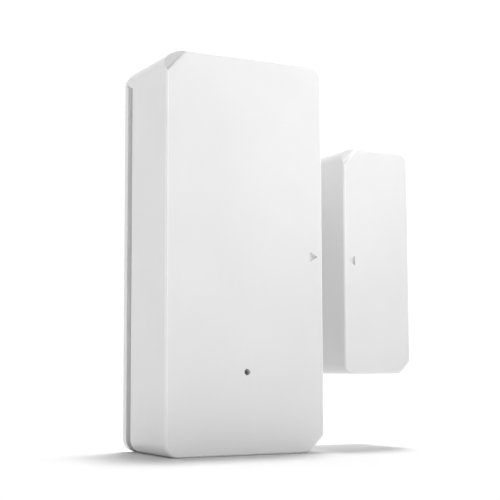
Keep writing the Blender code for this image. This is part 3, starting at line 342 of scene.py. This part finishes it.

# The rounding's painted light: painted shade along the top edge, painted highlights down the left edges
# and fainter along the foot.
EDGE_BAND = 0.00045
EDGE_LEAST_TURN = 0.12
EDGE_MOST_TURN = 0.985
EDGE_SIDE_LEAN = 0.4
EDGE_TOP_LEAN = 0.92
EDGE_FOOT_SHARE = 0.5
EDGE_PAINTED_SHADE = -0.07
SENSOR_EDGE_PAINTED_HIGHLIGHT = 0.28
MAGNET_EDGE_PAINTED_HIGHLIGHT = 0.17


def paint_light_on_front_edge(case, front, painted_highlight, corner_painted_light):
    """Paints light into the rounding round the front: a painted highlight down its left side and a
    fainter one along its foot, and painted shade along the top. The cut corner has its own painted
    tone."""
    painted_light = case.data.attributes.new("painted_edge_light", "FLOAT", "FACE")
    for face in case.data.polygons:
        turned = -face.normal.y
        if face.center.y > front + EDGE_BAND or not EDGE_LEAST_TURN < turned < EDGE_MOST_TURN:
            continue
        lean = face.normal.z / math.hypot(face.normal.x, face.normal.z)
        if lean > EDGE_TOP_LEAN:
            painted_light.data[face.index].value = EDGE_PAINTED_SHADE
        elif lean > EDGE_SIDE_LEAN:
            painted_light.data[face.index].value = corner_painted_light
        elif lean < -EDGE_SIDE_LEAN:
            painted_light.data[face.index].value = painted_highlight * EDGE_FOOT_SHARE
        elif face.normal.x < 0.0:
            painted_light.data[face.index].value = painted_highlight


for node, name, body in (
    ("front_shell", "sensor_case", "sensor_unit"),
    ("back_cover", "wall_cover", "cover_on_frame"),
    ("magnet_shell", "magnet_case", "magnet_unit"),
    ("magnet_cover", "magnet_case_back", "magnet_unit"),
):
    case = dressed(node, name, body, white_abs, MOULDED_EDGE)
    # The sensor's cut corner gets painted shade, the magnet's a painted highlight.
    if node == "front_shell":
        paint_light_on_front_edge(case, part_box(node)[0].y, SENSOR_EDGE_PAINTED_HIGHLIGHT, EDGE_PAINTED_SHADE)
    if node == "magnet_shell":
        paint_light_on_front_edge(case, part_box(node)[0].y, MAGNET_EDGE_PAINTED_HIGHLIGHT, MAGNET_EDGE_PAINTED_HIGHLIGHT)

# ---------------------------------------------------------------- adhesive pads
# Each unit is held by a pad of grey closed-cell foam with glue on both sides. It is die cut from a
# sheet, so its edges are plain and its faces show the foam's fine cells.
FOAM_DARK = (0.20, 0.21, 0.22, 1.0)
FOAM_LIGHT = (0.34, 0.35, 0.36, 1.0)
FOAM_EDGE = 0.00005
FOAM_CELLS = 5200.0


def add_cells(tree, scale):
    """The rounded cells of a foam, dark in their middles and lighter where they meet."""
    coordinates = tree.nodes.new("ShaderNodeTexCoord")
    voronoi = tree.nodes.new("ShaderNodeTexVoronoi")
    voronoi.feature = "SMOOTH_F1"
    voronoi.inputs["Scale"].default_value = scale
    tree.links.new(coordinates.outputs["Object"], voronoi.inputs["Vector"])
    return voronoi.outputs["Distance"]


foam, tree, shader = new_finish("grey_foam")
cells = add_cells(tree, FOAM_CELLS)
vary_colour(tree, shader, cells, FOAM_DARK, FOAM_LIGHT, low=0.05, high=0.55)
vary_roughness(tree, shader, add_noise(tree, scale=700.0, detail=4.0), low=0.78, high=0.95)
add_bump(tree, shader, cells, strength=0.7, distance=0.00006)
dressed("sensor_pad", "sensor_foam", "cover_on_frame", foam, FOAM_EDGE)
dressed("magnet_pad", "magnet_foam", "magnet_unit", foam, FOAM_EDGE)

# ---------------------------------------------------------------- light guide
# A turned rod of clear acrylic carries the lamp's light to the pinhole. It is held by its flange in
# the collar on the shell, and its polished sides show faint flow lines.
CLEAR_TINT = (0.86, 0.90, 0.92, 1.0)
CLEAR_PALE = (0.95, 0.97, 0.98, 1.0)
ROD_EDGE = 0.00004

acrylic, tree, shader = new_finish("clear_acrylic")
shader.inputs["IOR"].default_value = 1.49
shader.inputs["Transmission Weight"].default_value = 0.85
flow = add_noise(tree, scale=900.0, detail=2.0)
vary_colour(tree, shader, flow, CLEAR_TINT, CLEAR_PALE)
vary_roughness(tree, shader, flow, low=0.06, high=0.16)
add_bump(tree, shader, flow, strength=0.15, distance=0.00001)
dressed("light_guide", "clear_rod", "sensor_unit", acrylic, ROD_EDGE)

# ---------------------------------------------------------------- circuit board
# The board is glass-fibre laminate with green solder resist over its copper. The resist is mottled
# by the weave below it. Two screws hold the board to the shell's bosses.
RESIST_DARK = (0.012, 0.105, 0.042, 1.0)
RESIST_LIGHT = (0.018, 0.150, 0.060, 1.0)
WEAVE_SCALE = 900.0
BOARD_EDGE = 0.00004


def new_resist(name, dark, light):
    """Glossy solder resist, with the faint weave of the laminate under it."""
    material, tree, shader = new_finish(name)
    shader.inputs["Coat Weight"].default_value = 0.35
    shader.inputs["Coat Roughness"].default_value = 0.12
    vary_colour(tree, shader, add_noise(tree, scale=260.0, detail=3.0), dark, light)
    vary_roughness(tree, shader, add_noise(tree, scale=500.0, detail=2.0), low=0.24, high=0.38)
    weave = add_noise(tree, WEAVE_SCALE, detail=1.0)
    add_bump(tree, shader, weave, strength=0.25, distance=0.00002)
    return material


resist = new_resist("green_resist", RESIST_DARK, RESIST_LIGHT)
dressed("circuit_board", "green_board", "sensor_unit", resist, BOARD_EDGE)

# ---------------------------------------------------------------- chip resistors and capacitors
# The small passive parts are dark ceramic blocks with a tinned cap at each end. They are placed on
# the board's front by machine and soldered by their caps.
BOARD_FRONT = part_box("circuit_board")[0].y
TIN_DULL = (0.56, 0.57, 0.58, 1.0)
TIN_BRIGHT = (0.74, 0.75, 0.76, 1.0)
PIT_RATIO = 3
CERAMIC_DARK = (0.020, 0.020, 0.024, 1.0)
CERAMIC_LIGHT = (0.055, 0.052, 0.050, 1.0)
PASSIVE_LENGTH = 0.0016
PASSIVE_WIDTH = 0.0008
PASSIVE_HEIGHT = 0.00045
PASSIVE_LIFT = 0.00004
CAP_LENGTH = 0.0003
CAP_EDGE = 0.00006
CERAMIC_INSET = 0.00003
CERAMIC_EDGE = 0.00003
PASSIVE_PLACES = (
    (-0.0105, 0.0135, True),
    (-0.0088, 0.0135, True),
    (-0.0071, 0.0135, True),
    (-0.0012, 0.0128, False),
    (0.0026, 0.0128, False),
    (0.0062, 0.0128, False),
    (-0.0098, 0.0022, False),
    (-0.0098, -0.0006, False),
    (0.0020, -0.0020, True),
    (0.0040, -0.0020, True),
    (0.0062, -0.0042, False),
    (-0.0040, -0.0112, False),
    (-0.0004, -0.0112, False),
)


def new_metal(name, dull, bright, grain, smoothest, roughest):
    """A plated or bare metal, with duller and brighter patches and fine pits."""
    material, tree, shader = new_finish(name)
    shader.inputs["Metallic"].default_value = 1.0
    patches = add_noise(tree, grain, detail=4.0)
    vary_colour(tree, shader, patches, dull, bright)
    vary_roughness(tree, shader, patches, smoothest, roughest)
    pits = add_noise(tree, grain * PIT_RATIO, detail=2.0)
    add_bump(tree, shader, pits, strength=0.15, distance=0.00001)
    return material


def add_slab(name, low, high, edge):
    """A small block between two corners, with softened edges."""
    clear_selection()
    bpy.ops.mesh.primitive_cube_add(size=1.0, location=(low + high) / 2, scale=high - low)
    slab = bpy.context.object
    slab.name = name
    bpy.ops.object.transform_apply(location=True, rotation=True, scale=True)
    bpy.ops.object.mode_set(mode="EDIT")
    bpy.ops.mesh.select_all(action="SELECT")
    bpy.ops.mesh.bevel(offset=edge, segments=2, affect="EDGES")
    bpy.ops.object.mode_set(mode="OBJECT")
    bpy.ops.object.shade_smooth_by_angle(angle=SHARP_ANGLE)
    return slab


def joined(name, pieces):
    """One piece made of several small ones."""
    clear_selection()
    for piece in pieces:
        piece.select_set(True)
    bpy.context.view_layer.objects.active = pieces[0]
    bpy.ops.object.join()
    whole = bpy.context.object
    whole.name = name
    whole.data.name = name
    clear_selection()
    return whole


tinned = new_metal("tinned_copper", TIN_DULL, TIN_BRIGHT, grain=1800.0, smoothest=0.22, roughest=0.42)
ceramic, tree, shader = new_finish("passive_ceramic")
grit = add_noise(tree, scale=4000.0, detail=3.0)
vary_colour(tree, shader, grit, CERAMIC_DARK, CERAMIC_LIGHT)
vary_roughness(tree, shader, grit, low=0.35, high=0.55)
add_bump(tree, shader, grit, strength=0.3, distance=0.00001)
blocks = []
caps = []
for x, z, upright in PASSIVE_PLACES:
    long, short = PASSIVE_LENGTH / 2, PASSIVE_WIDTH / 2
    reach = Vector((short, 0.0, long)) if upright else Vector((long, 0.0, short))
    back = BOARD_FRONT - PASSIVE_LIFT
    low = Vector((x, back - PASSIVE_HEIGHT, z)) - reach
    high = Vector((x, back, z)) + reach
    axis = 2 if upright else 0
    inner_low, inner_high = low.copy(), high.copy()
    inner_low[axis] += CAP_LENGTH
    inner_high[axis] -= CAP_LENGTH
    inset = Vector((CERAMIC_INSET, CERAMIC_INSET, CERAMIC_INSET))
    inset[axis] = 0.0
    blocks.append(add_slab("passive_body", inner_low + inset, inner_high - inset, CERAMIC_EDGE))
    for low_side in (True, False):
        cap_low, cap_high = low.copy(), high.copy()
        if low_side:
            cap_high[axis] = inner_low[axis]
        else:
            cap_low[axis] = inner_high[axis]
        caps.append(add_slab("passive_end", cap_low, cap_high, CAP_EDGE))
finish_piece(joined("chip_passives", blocks), "sensor_unit", ceramic)
finish_piece(joined("chip_passive_ends", caps), "sensor_unit", tinned)

# ---------------------------------------------------------------- board tracks
# Copper tracks run under the resist from the chips' pads to the rest of the circuit. They are
# etched from the foil, so they stand up a little and show through as a lighter green.
TRACK_DARK = (0.030, 0.205, 0.085, 1.0)
TRACK_LIGHT = (0.045, 0.260, 0.115, 1.0)
TRACK_LANES = 4
TRACK_WIDTH = 0.00018
TRACK_THICKNESS = 0.00003
TRACK_PITCH = 0.00048
TRACK_START = 0.0006
VIA_HALF = 0.00025
CONTROLLER_TURN_Z = -0.0165
CONTROLLER_END_X = -0.0015
RADIO_LEFT_TURN_Z = 0.0205
RADIO_LEFT_END_X = -0.0085
RADIO_RIGHT_TURN_Z = 0.0255
RADIO_RIGHT_END_X = 0.0005
SUPPLY_X = 0.0118
SUPPLY_TOP_Z = 0.0285
SUPPLY_FOOT_Z = -0.0262
SUPPLY_END_X = 0.0060


def add_track(corners):
    """The straight runs of one track on the board's front, between its corners, and its via."""
    runs = []
    front = BOARD_FRONT - TRACK_THICKNESS
    spread = Vector((TRACK_WIDTH / 2, 0.0, TRACK_WIDTH / 2))
    for (x0, z0), (x1, z1) in zip(corners, corners[1:]):
        low = Vector((min(x0, x1), front, min(z0, z1))) - spread
        high = Vector((max(x0, x1), BOARD_FRONT, max(z0, z1))) + spread
        runs.append(add_slab("track_run", low, high, TRACK_THICKNESS / 3))
    x, z = corners[-1]
    low = Vector((x - VIA_HALF, front - TRACK_THICKNESS, z - VIA_HALF))
    high = Vector((x + VIA_HALF, BOARD_FRONT, z + VIA_HALF))
    runs.append(add_slab("via", low, high, TRACK_THICKNESS / 3))
    return runs


radio_low, radio_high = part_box("radio_chip")
controller_low, controller_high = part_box("controller_chip")
runs = []
for lane in range(TRACK_LANES):
    step = lane * TRACK_PITCH
    z = controller_high.z - TRACK_START - step
    x = controller_high.x + TRACK_START
    turn_x = x + TRACK_START + step
    runs += add_track([(x, z), (turn_x, z), (turn_x, radio_low.z - TRACK_START - step)])

    z = controller_low.z + TRACK_START + step
    x = controller_low.x - TRACK_START
    turn_x = x - TRACK_START - step
    turn_z = CONTROLLER_TURN_Z - step
    runs += add_track([(x, z), (turn_x, z), (turn_x, turn_z), (CONTROLLER_END_X + step, turn_z)])

    z = radio_high.z - TRACK_START - step
    x = radio_low.x - TRACK_START
    turn_x = x - TRACK_START - step
    turn_z = RADIO_LEFT_TURN_Z + step
    runs += add_track([(x, z), (turn_x, z), (turn_x, turn_z), (RADIO_LEFT_END_X - step, turn_z)])

    x = radio_high.x + TRACK_START
    turn_x = x + TRACK_START + step
    turn_z = RADIO_RIGHT_TURN_Z - step
    runs += add_track([(x, z), (turn_x, z), (turn_x, turn_z), (RADIO_RIGHT_END_X + step, turn_z)])
for side in (-1.0, 1.0):
    x = side * SUPPLY_X
    runs += add_track([(x, SUPPLY_TOP_Z), (x, SUPPLY_FOOT_Z), (side * SUPPLY_END_X, SUPPLY_FOOT_Z)])
track_resist = new_resist("resist_on_copper", TRACK_DARK, TRACK_LIGHT)
finish_piece(joined("board_tracks", runs), "sensor_unit", track_resist)

# ---------------------------------------------------------------- radio and controller
# The two chips are moulded epoxy packages with a faintly gritty face. They are soldered to the
# board by tinned pads down both sides.
EPOXY_DARK = (0.012, 0.012, 0.014, 1.0)
EPOXY_LIGHT = (0.040, 0.040, 0.043, 1.0)
EPOXY_EDGE = 0.00004
PAD_LENGTH = 0.0005
PAD_THICKNESS = 0.00012

epoxy, tree, shader = new_finish("moulded_epoxy")
grit = add_noise(tree, scale=6000.0, detail=4.0)
vary_colour(tree, shader, grit, EPOXY_DARK, EPOXY_LIGHT)
vary_roughness(tree, shader, grit, low=0.42, high=0.62)
add_bump(tree, shader, grit, strength=0.4, distance=0.000015)
for node, pads_per_side in (("radio_chip", 8), ("controller_chip", 7)):
    dressed(node, node + "_package", "sensor_unit", epoxy, EPOXY_EDGE)
    low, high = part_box(node)
    pads = []
    pitch = (high.z - low.z) / (pads_per_side + 1)
    half = pitch / 4
    for i in range(1, pads_per_side + 1):
        z = low.z + i * pitch
        for start_x, end_x in (
            (low.x - PAD_LENGTH, low.x - PAD_THICKNESS),
            (high.x + PAD_THICKNESS, high.x + PAD_LENGTH),
        ):
            start = Vector((start_x, high.y - PAD_THICKNESS, z - half))
            end = Vector((end_x, high.y + PAD_THICKNESS / 2, z + half))
            pads.append(add_slab("pad", start, end, PAD_THICKNESS / 4))
    finish_piece(joined(node + "_pads", pads), "sensor_unit", tinned)

# ---------------------------------------------------------------- status lamp
# The lamp is a surface-mount light-emitting diode in pale, slightly cloudy resin. It is soldered to
# the board's front, right behind the light guide.
RESIN_DEEP = (0.70, 0.64, 0.42, 1.0)
RESIN_PALE = (0.85, 0.83, 0.74, 1.0)
RESIN_SCATTER = (0.0004, 0.0003, 0.0002)
LAMP_EDGE = 0.00006

lamp_resin, tree, shader = new_finish("lamp_resin")
shader.inputs["Subsurface Weight"].default_value = 0.3
shader.inputs["Subsurface Radius"].default_value = RESIN_SCATTER
haze = add_noise(tree, scale=2500.0, detail=2.0)
vary_colour(tree, shader, haze, RESIN_DEEP, RESIN_PALE)
vary_roughness(tree, shader, haze, low=0.18, high=0.34)
add_bump(tree, shader, haze, strength=0.2, distance=0.00001)
dressed("status_lamp", "lamp_package", "sensor_unit", lamp_resin, LAMP_EDGE)

# ---------------------------------------------------------------- crystal
# The crystal that keeps the controller's time is sealed in a drawn metal can. The can is welded to
# its base round a thin rim.
CAN_DULL = (0.58, 0.58, 0.56, 1.0)
CAN_BRIGHT = (0.72, 0.72, 0.70, 1.0)
CAN_EDGE = 0.00008
RIM = 0.00022

can_steel = new_metal("crystal_can", CAN_DULL, CAN_BRIGHT, grain=2600.0, smoothest=0.2, roughest=0.36)
dressed("crystal", "crystal_can", "sensor_unit", can_steel, CAN_EDGE)
low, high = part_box("crystal")
rim_low = Vector((low.x - RIM, high.y - RIM, low.z - RIM))
rim_high = Vector((high.x + RIM, high.y + RIM / 4, high.z + RIM))
rim = add_slab("crystal_rim", rim_low, rim_high, RIM / 4)
finish_piece(rim, "sensor_unit", can_steel)

# ---------------------------------------------------------------- board screws
# Two pan-head screws with a cross recess hold the board to the shell's bosses. They are steel, and
# their zinc plating is faintly mottled.
ZINC_DULL = (0.50, 0.51, 0.52, 1.0)
ZINC_BRIGHT = (0.70, 0.71, 0.73, 1.0)
SCREW_EDGE = 0.00004

zinc = new_metal("zinc_plating", ZINC_DULL, ZINC_BRIGHT, grain=2200.0, smoothest=0.24, roughest=0.42)
for side in ("left", "right"):
    screw = "pan_screw_" + side
    dressed("board_screw_" + side, screw, "sensor_unit", zinc, SCREW_EDGE)

# ---------------------------------------------------------------- reed switch
# Two nickel-iron blades meet in a glass tube that is fused round its leads. The moving blade bends at
# the upper seal, and the leads are bent into the board and soldered.
GLASS_GREEN = (0.66, 0.82, 0.70, 1.0)
GLASS_PALE = (0.80, 0.92, 0.84, 1.0)
NICKEL_DULL = (0.54, 0.52, 0.47, 1.0)
NICKEL_BRIGHT = (0.72, 0.70, 0.65, 1.0)
BLADE_EDGE = 0.00002
LEAD_HALF = 0.00025
SOLDER_RADIUS = 0.00062
SOLDER_HEIGHT = 0.00034
DOME_SIDES = 20
DOME_TOP_SHARE = 0.45
DOME_ROUND_SHARE = 0.3


def add_dome(name, foot, radius, rise):
    """A low dome on a board or plate, that rises towards the front (or the back if negative)."""
    clear_selection()
    lean = math.pi / 2 if rise > 0 else -math.pi / 2
    bpy.ops.mesh.primitive_cone_add(
        vertices=DOME_SIDES,
        radius1=radius,
        radius2=radius * DOME_TOP_SHARE,
        depth=abs(rise),
        location=foot + Vector((0.0, -rise / 2, 0.0)),
        rotation=(lean, 0.0, 0.0),
    )
    dome = bpy.context.object
    dome.name = name
    bpy.ops.object.transform_apply(location=True, rotation=True, scale=True)
    bpy.ops.object.mode_set(mode="EDIT")
    bpy.ops.mesh.select_all(action="SELECT")
    bpy.ops.mesh.bevel(offset=abs(rise) * DOME_ROUND_SHARE, segments=3, affect="EDGES")
    bpy.ops.object.mode_set(mode="OBJECT")
    bpy.ops.object.shade_smooth_by_angle(angle=SHARP_ANGLE)
    return dome


reed_tube, tree, shader = new_finish("green_glass")
shader.inputs["IOR"].default_value = 1.5
shader.inputs["Transmission Weight"].default_value = 0.95
ripple = add_noise(tree, scale=600.0, detail=2.0)
vary_colour(tree, shader, ripple, GLASS_GREEN, GLASS_PALE)
vary_roughness(tree, shader, ripple, low=0.01, high=0.06)
add_bump(tree, shader, ripple, strength=0.1, distance=0.00002)
dressed("reed_glass", "glass_tube", "sensor_unit", reed_tube)

nickel = new_metal(
    "nickel_plating", NICKEL_DULL, NICKEL_BRIGHT, grain=1500.0, smoothest=0.16, roughest=0.34
)
dressed("reed_upper_lead", "upper_lead", "sensor_unit", nickel)
dressed("reed_lower_lead", "lower_lead", "sensor_unit", nickel)
dressed("reed_blade", "moving_blade", "reed_contact", nickel, BLADE_EDGE)

solder = []
for node in ("reed_upper_lead", "reed_lower_lead"):
    low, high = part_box(node)
    z = high.z - LEAD_HALF if node == "reed_upper_lead" else low.z + LEAD_HALF
    x = (low.x + high.x) / 2
    solder.append(add_dome("fillet", Vector((x, BOARD_FRONT, z)), SOLDER_RADIUS, SOLDER_HEIGHT))
finish_piece(joined("reed_solder", solder), "sensor_unit", tinned)

# ---------------------------------------------------------------- battery holder
# The tray is moulded in black ABS, with two round-bottomed bays. Its faces have a fine spark-eroded
# texture, and wear has greyed them in patches.
BLACK_DEEP = (0.010, 0.010, 0.011, 1.0)
BLACK_WORN = (0.035, 0.035, 0.037, 1.0)
TRAY_EDGE = 0.00012

black_abs, tree, shader = new_finish("black_abs")
grain = add_noise(tree, scale=4200.0, detail=3.0)
vary_colour(tree, shader, add_noise(tree, scale=180.0, detail=4.0), BLACK_DEEP, BLACK_WORN)
vary_roughness(tree, shader, grain, low=0.42, high=0.58)
add_bump(tree, shader, grain, strength=0.45, distance=0.00002)
dressed("battery_holder", "cell_tray", "sensor_unit", black_abs, TRAY_EDGE)

# ---------------------------------------------------------------- cells
# Two AAA cells lie head to tail in the tray. Each is a drawn steel can in a shrunk jacket, plain
# blue with a silver band at the positive end, and its ends are bare metal.
JACKET_DARK = (0.022, 0.045, 0.130, 1.0)
JACKET_LIGHT = (0.040, 0.075, 0.200, 1.0)
BAND_COLOUR = (0.55, 0.56, 0.58, 1.0)
BAND_SHARE = 0.22
END_DULL = (0.60, 0.60, 0.58, 1.0)
END_BRIGHT = (0.76, 0.76, 0.74, 1.0)
NUB_DEPTH = 0.0011
BASE_DEPTH = 0.0002
CELL_EDGE = 0.00008

can_end = new_metal("cell_can", END_DULL, END_BRIGHT, grain=1400.0, smoothest=0.2, roughest=0.36)
for side, nub_up in (("left", True), ("right", False)):
    low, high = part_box("battery_" + side)
    jacket, tree, shader = new_finish("jacket_" + side)
    shader.inputs["Metallic"].default_value = 0.35
    shader.inputs["Coat Weight"].default_value = 0.6
    shader.inputs["Coat Roughness"].default_value = 0.08
    mottle = add_noise(tree, scale=300.0, detail=3.0)
    blue = vary_colour(tree, shader, mottle, JACKET_DARK, JACKET_LIGHT)
    height = tree.nodes.new("ShaderNodeSeparateXYZ")
    where = tree.nodes.new("ShaderNodeTexCoord")
    tree.links.new(where.outputs["Object"], height.inputs["Vector"])
    band = tree.nodes.new("ShaderNodeMath")
    band.operation = "GREATER_THAN" if nub_up else "LESS_THAN"
    reach = (high.z - low.z) * BAND_SHARE
    band.inputs[1].default_value = high.z - reach if nub_up else low.z + reach
    tree.links.new(height.outputs["Z"], band.inputs[0])
    banded = tree.nodes.new("ShaderNodeMix")
    banded.data_type = "RGBA"
    banded.inputs["B"].default_value = BAND_COLOUR
    tree.links.new(band.outputs["Value"], banded.inputs["Factor"])
    tree.links.new(blue.outputs["Color"], banded.inputs["A"])
    tree.links.new(banded.outputs["Result"], shader.inputs["Base Color"])
    scuffs = add_noise(tree, scale=2600.0, detail=3.0)
    vary_roughness(tree, shader, scuffs, low=0.24, high=0.36)
    add_bump(tree, shader, scuffs, strength=0.04, distance=0.00001)
    cell = dressed("battery_" + side, "cell_" + side, "sensor_unit", jacket, CELL_EDGE)
    cell.data.materials.append(can_end)
    for face in cell.data.polygons:
        from_top = high.z - face.center.z
        from_foot = face.center.z - low.z
        from_nub, from_base = (from_top, from_foot) if nub_up else (from_foot, from_top)
        if from_nub < NUB_DEPTH or from_base < BASE_DEPTH:
            face.material_index = 1

# ---------------------------------------------------------------- battery contacts
# The flat contacts and the two coil springs are nickel-plated spring steel. They sit against the
# tray's end walls, and the plating has duller patches.
CONTACT_DULL = (0.50, 0.49, 0.45, 1.0)
CONTACT_BRIGHT = (0.74, 0.73, 0.70, 1.0)
CONTACT_EDGE = 0.00004

contact_nickel = new_metal(
    "contact_nickel", CONTACT_DULL, CONTACT_BRIGHT, grain=900.0, smoothest=0.18, roughest=0.4
)
for node, name in (
    ("negative_plate", "contact_negative"),
    ("positive_plate", "contact_positive"),
    ("link_plate", "contact_link"),
):
    dressed(node, name, "sensor_unit", contact_nickel, CONTACT_EDGE)
for node, name in (("spring_lower", "coil_lower"), ("spring_upper", "coil_upper")):
    dressed(node, name, "sensor_unit", contact_nickel, smooth_levels=1)

# ---------------------------------------------------------------- pairing button
# A push switch: a black base under a pressed steel frame, whose corners are held by four heat-formed
# rivets. The white plunger comes up through the frame.
FRAME_THICKNESS = 0.0003
FRAME_GAP = 0.00002
FRAME_MARGIN = 0.0001
PLUNGER_CLEARANCE = 0.00015
HOLE_SIDES = 40
RIVET_RADIUS = 0.00042
RIVET_HEIGHT = 0.00022
RIVET_INSET = 0.0009
BASE_EDGE = 0.00006
PLUNGER_EDGE = 0.00005
PLUNGER_DULL = (0.62, 0.62, 0.61, 1.0)
PLUNGER_WHITE = (0.76, 0.76, 0.75, 1.0)


def add_ring_plate(name, centre, half, hole_radius, thickness):
    """A square plate with a round hole, standing on its centre and facing the back."""
    clear_selection()
    bpy.ops.mesh.primitive_cube_add(
        size=1.0,
        location=centre + Vector((0.0, thickness / 2, 0.0)),
        scale=(2 * half, thickness, 2 * half),
    )
    plate = bpy.context.object
    plate.name = name
    bpy.ops.object.transform_apply(location=True, rotation=True, scale=True)
    bpy.ops.mesh.primitive_cylinder_add(
        vertices=HOLE_SIDES,
        radius=hole_radius,
        depth=4 * thickness,
        location=centre,
        rotation=(math.pi / 2, 0.0, 0.0),
    )
    punch = bpy.context.object
    hole = plate.modifiers.new("hole", "BOOLEAN")
    hole.object = punch
    round_edges = plate.modifiers.new("round_edges", "BEVEL")
    round_edges.width = thickness / 5
    round_edges.segments = 2
    clear_selection()
    plate.select_set(True)
    bpy.context.view_layer.objects.active = plate
    bpy.ops.object.modifier_apply(modifier=hole.name)
    bpy.ops.object.modifier_apply(modifier=round_edges.name)
    bpy.data.objects.remove(punch)
    bpy.ops.object.shade_smooth_by_angle(angle=SHARP_ANGLE)
    return plate


dressed("button_base", "switch_base", "sensor_unit", black_abs, BASE_EDGE)
low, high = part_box("button_base")
plunger_low, plunger_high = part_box("button_plunger")
axis_x = (low.x + high.x) / 2
axis_z = (low.z + high.z) / 2
hole_radius = (plunger_high.x - plunger_low.x) / 2 + PLUNGER_CLEARANCE
frame_centre = Vector((axis_x, high.y + FRAME_GAP, axis_z))
frame_half = (high.x - low.x) / 2 - FRAME_MARGIN
frame_plate = add_ring_plate("switch_frame", frame_centre, frame_half, hole_radius, FRAME_THICKNESS)
finish_piece(frame_plate, "sensor_unit", contact_nickel)
rivets = []
reach = (high.x - low.x) / 2 - RIVET_INSET
rivet_foot = high.y + FRAME_THICKNESS + FRAME_GAP
for side in (-1.0, 1.0):
    for end in (-1.0, 1.0):
        centre = Vector((axis_x + side * reach, rivet_foot, axis_z + end * reach))
        rivets.append(add_dome("rivet", centre, RIVET_RADIUS, -RIVET_HEIGHT))
finish_piece(joined("switch_rivets", rivets), "sensor_unit", black_abs)

plunger_abs, tree, shader = new_finish("plunger_plastic")
grain = add_noise(tree, scale=3000.0, detail=2.0)
vary_colour(tree, shader, grain, PLUNGER_DULL, PLUNGER_WHITE)
vary_roughness(tree, shader, grain, low=0.30, high=0.45)
add_bump(tree, shader, grain, strength=0.25, distance=0.00001)
dressed("button_plunger", "push_top", "pairing_button", plunger_abs, PLUNGER_EDGE)

# ---------------------------------------------------------------- antenna
# A coil of bare copper wire is the aerial. It is wound on a rod, cut, and soldered to the board by
# one leg, and it has darkened a little in the air.
COPPER_DARK = (0.48, 0.21, 0.09, 1.0)
COPPER_BRIGHT = (0.80, 0.42, 0.24, 1.0)

copper = new_metal("bare_copper", COPPER_DARK, COPPER_BRIGHT, grain=420.0, smoothest=0.18, roughest=0.4)
dressed("antenna_coil", "copper_coil", "sensor_unit", copper, smooth_levels=1)

# ---------------------------------------------------------------- capacitor
# The buffer capacitor is an aluminium can in a shrunk black sleeve. The sleeve turns in over the
# rim, and the bare top is scored so that it opens safely.
SLEEVE_DARK = (0.012, 0.012, 0.016, 1.0)
SLEEVE_LIGHT = (0.035, 0.035, 0.042, 1.0)
SLEEVE_EDGE = 0.00005
SLEEVE_LIP = 0.0005
TOP_DULL = (0.66, 0.67, 0.68, 1.0)
TOP_BRIGHT = (0.82, 0.83, 0.84, 1.0)
TOP_DEPTH = 0.0001
SCORE_SHARE = 0.75
SCORE_HALF = 0.00006
SCORE_BOTTOM = 0.00001
SCORE_TOP = 0.00005
SCORE_EDGE = 0.00001

sleeve, tree, shader = new_finish("shrunk_sleeve")
crease = add_noise(tree, scale=800.0, detail=3.0)
vary_colour(tree, shader, crease, SLEEVE_DARK, SLEEVE_LIGHT)
vary_roughness(tree, shader, crease, low=0.22, high=0.4)
add_bump(tree, shader, crease, strength=0.2, distance=0.00003)
can_top = new_metal("can_top", TOP_DULL, TOP_BRIGHT, grain=2000.0, smoothest=0.25, roughest=0.4)
can = dressed("capacitor", "buffer_capacitor", "sensor_unit", sleeve, SLEEVE_EDGE)
can.data.materials.append(can_top)
low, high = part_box("capacitor")
centre = (low + high) / 2
rim = (high.x - low.x) / 2 - SLEEVE_LIP
for face in can.data.polygons:
    off = math.hypot(face.center.x - centre.x, face.center.z - centre.z)
    if face.center.y > high.y - TOP_DEPTH and off < rim:
        face.material_index = 1
scores = []
long, short = rim * SCORE_SHARE, SCORE_HALF
for reach in (Vector((long, 0.0, short)), Vector((short, 0.0, long))):
    start = Vector((centre.x, high.y + SCORE_BOTTOM, centre.z)) - reach
    end = Vector((centre.x, high.y + SCORE_TOP, centre.z)) + reach
    scores.append(add_slab("score", start, end, SCORE_EDGE))
finish_piece(joined("capacitor_scores", scores), "sensor_unit", can_top)

# ---------------------------------------------------------------- bar magnet
# A sintered block magnet stands in its ribs against the wall that faces the sensor. It is ground,
# tumbled and nickel plated, so its edges are soft and its faces faintly pitted.
PLATING_DULL = (0.55, 0.55, 0.53, 1.0)
PLATING_BRIGHT = (0.64, 0.64, 0.62, 1.0)
MAGNET_EDGE = 0.0001

plated = new_metal(
    "magnet_plating", PLATING_DULL, PLATING_BRIGHT, grain=1100.0, smoothest=0.24, roughest=0.34
)
dressed("bar_magnet", "block_magnet", "magnet_unit", plated, MAGNET_EDGE)

bpy.context.view_layer.update()
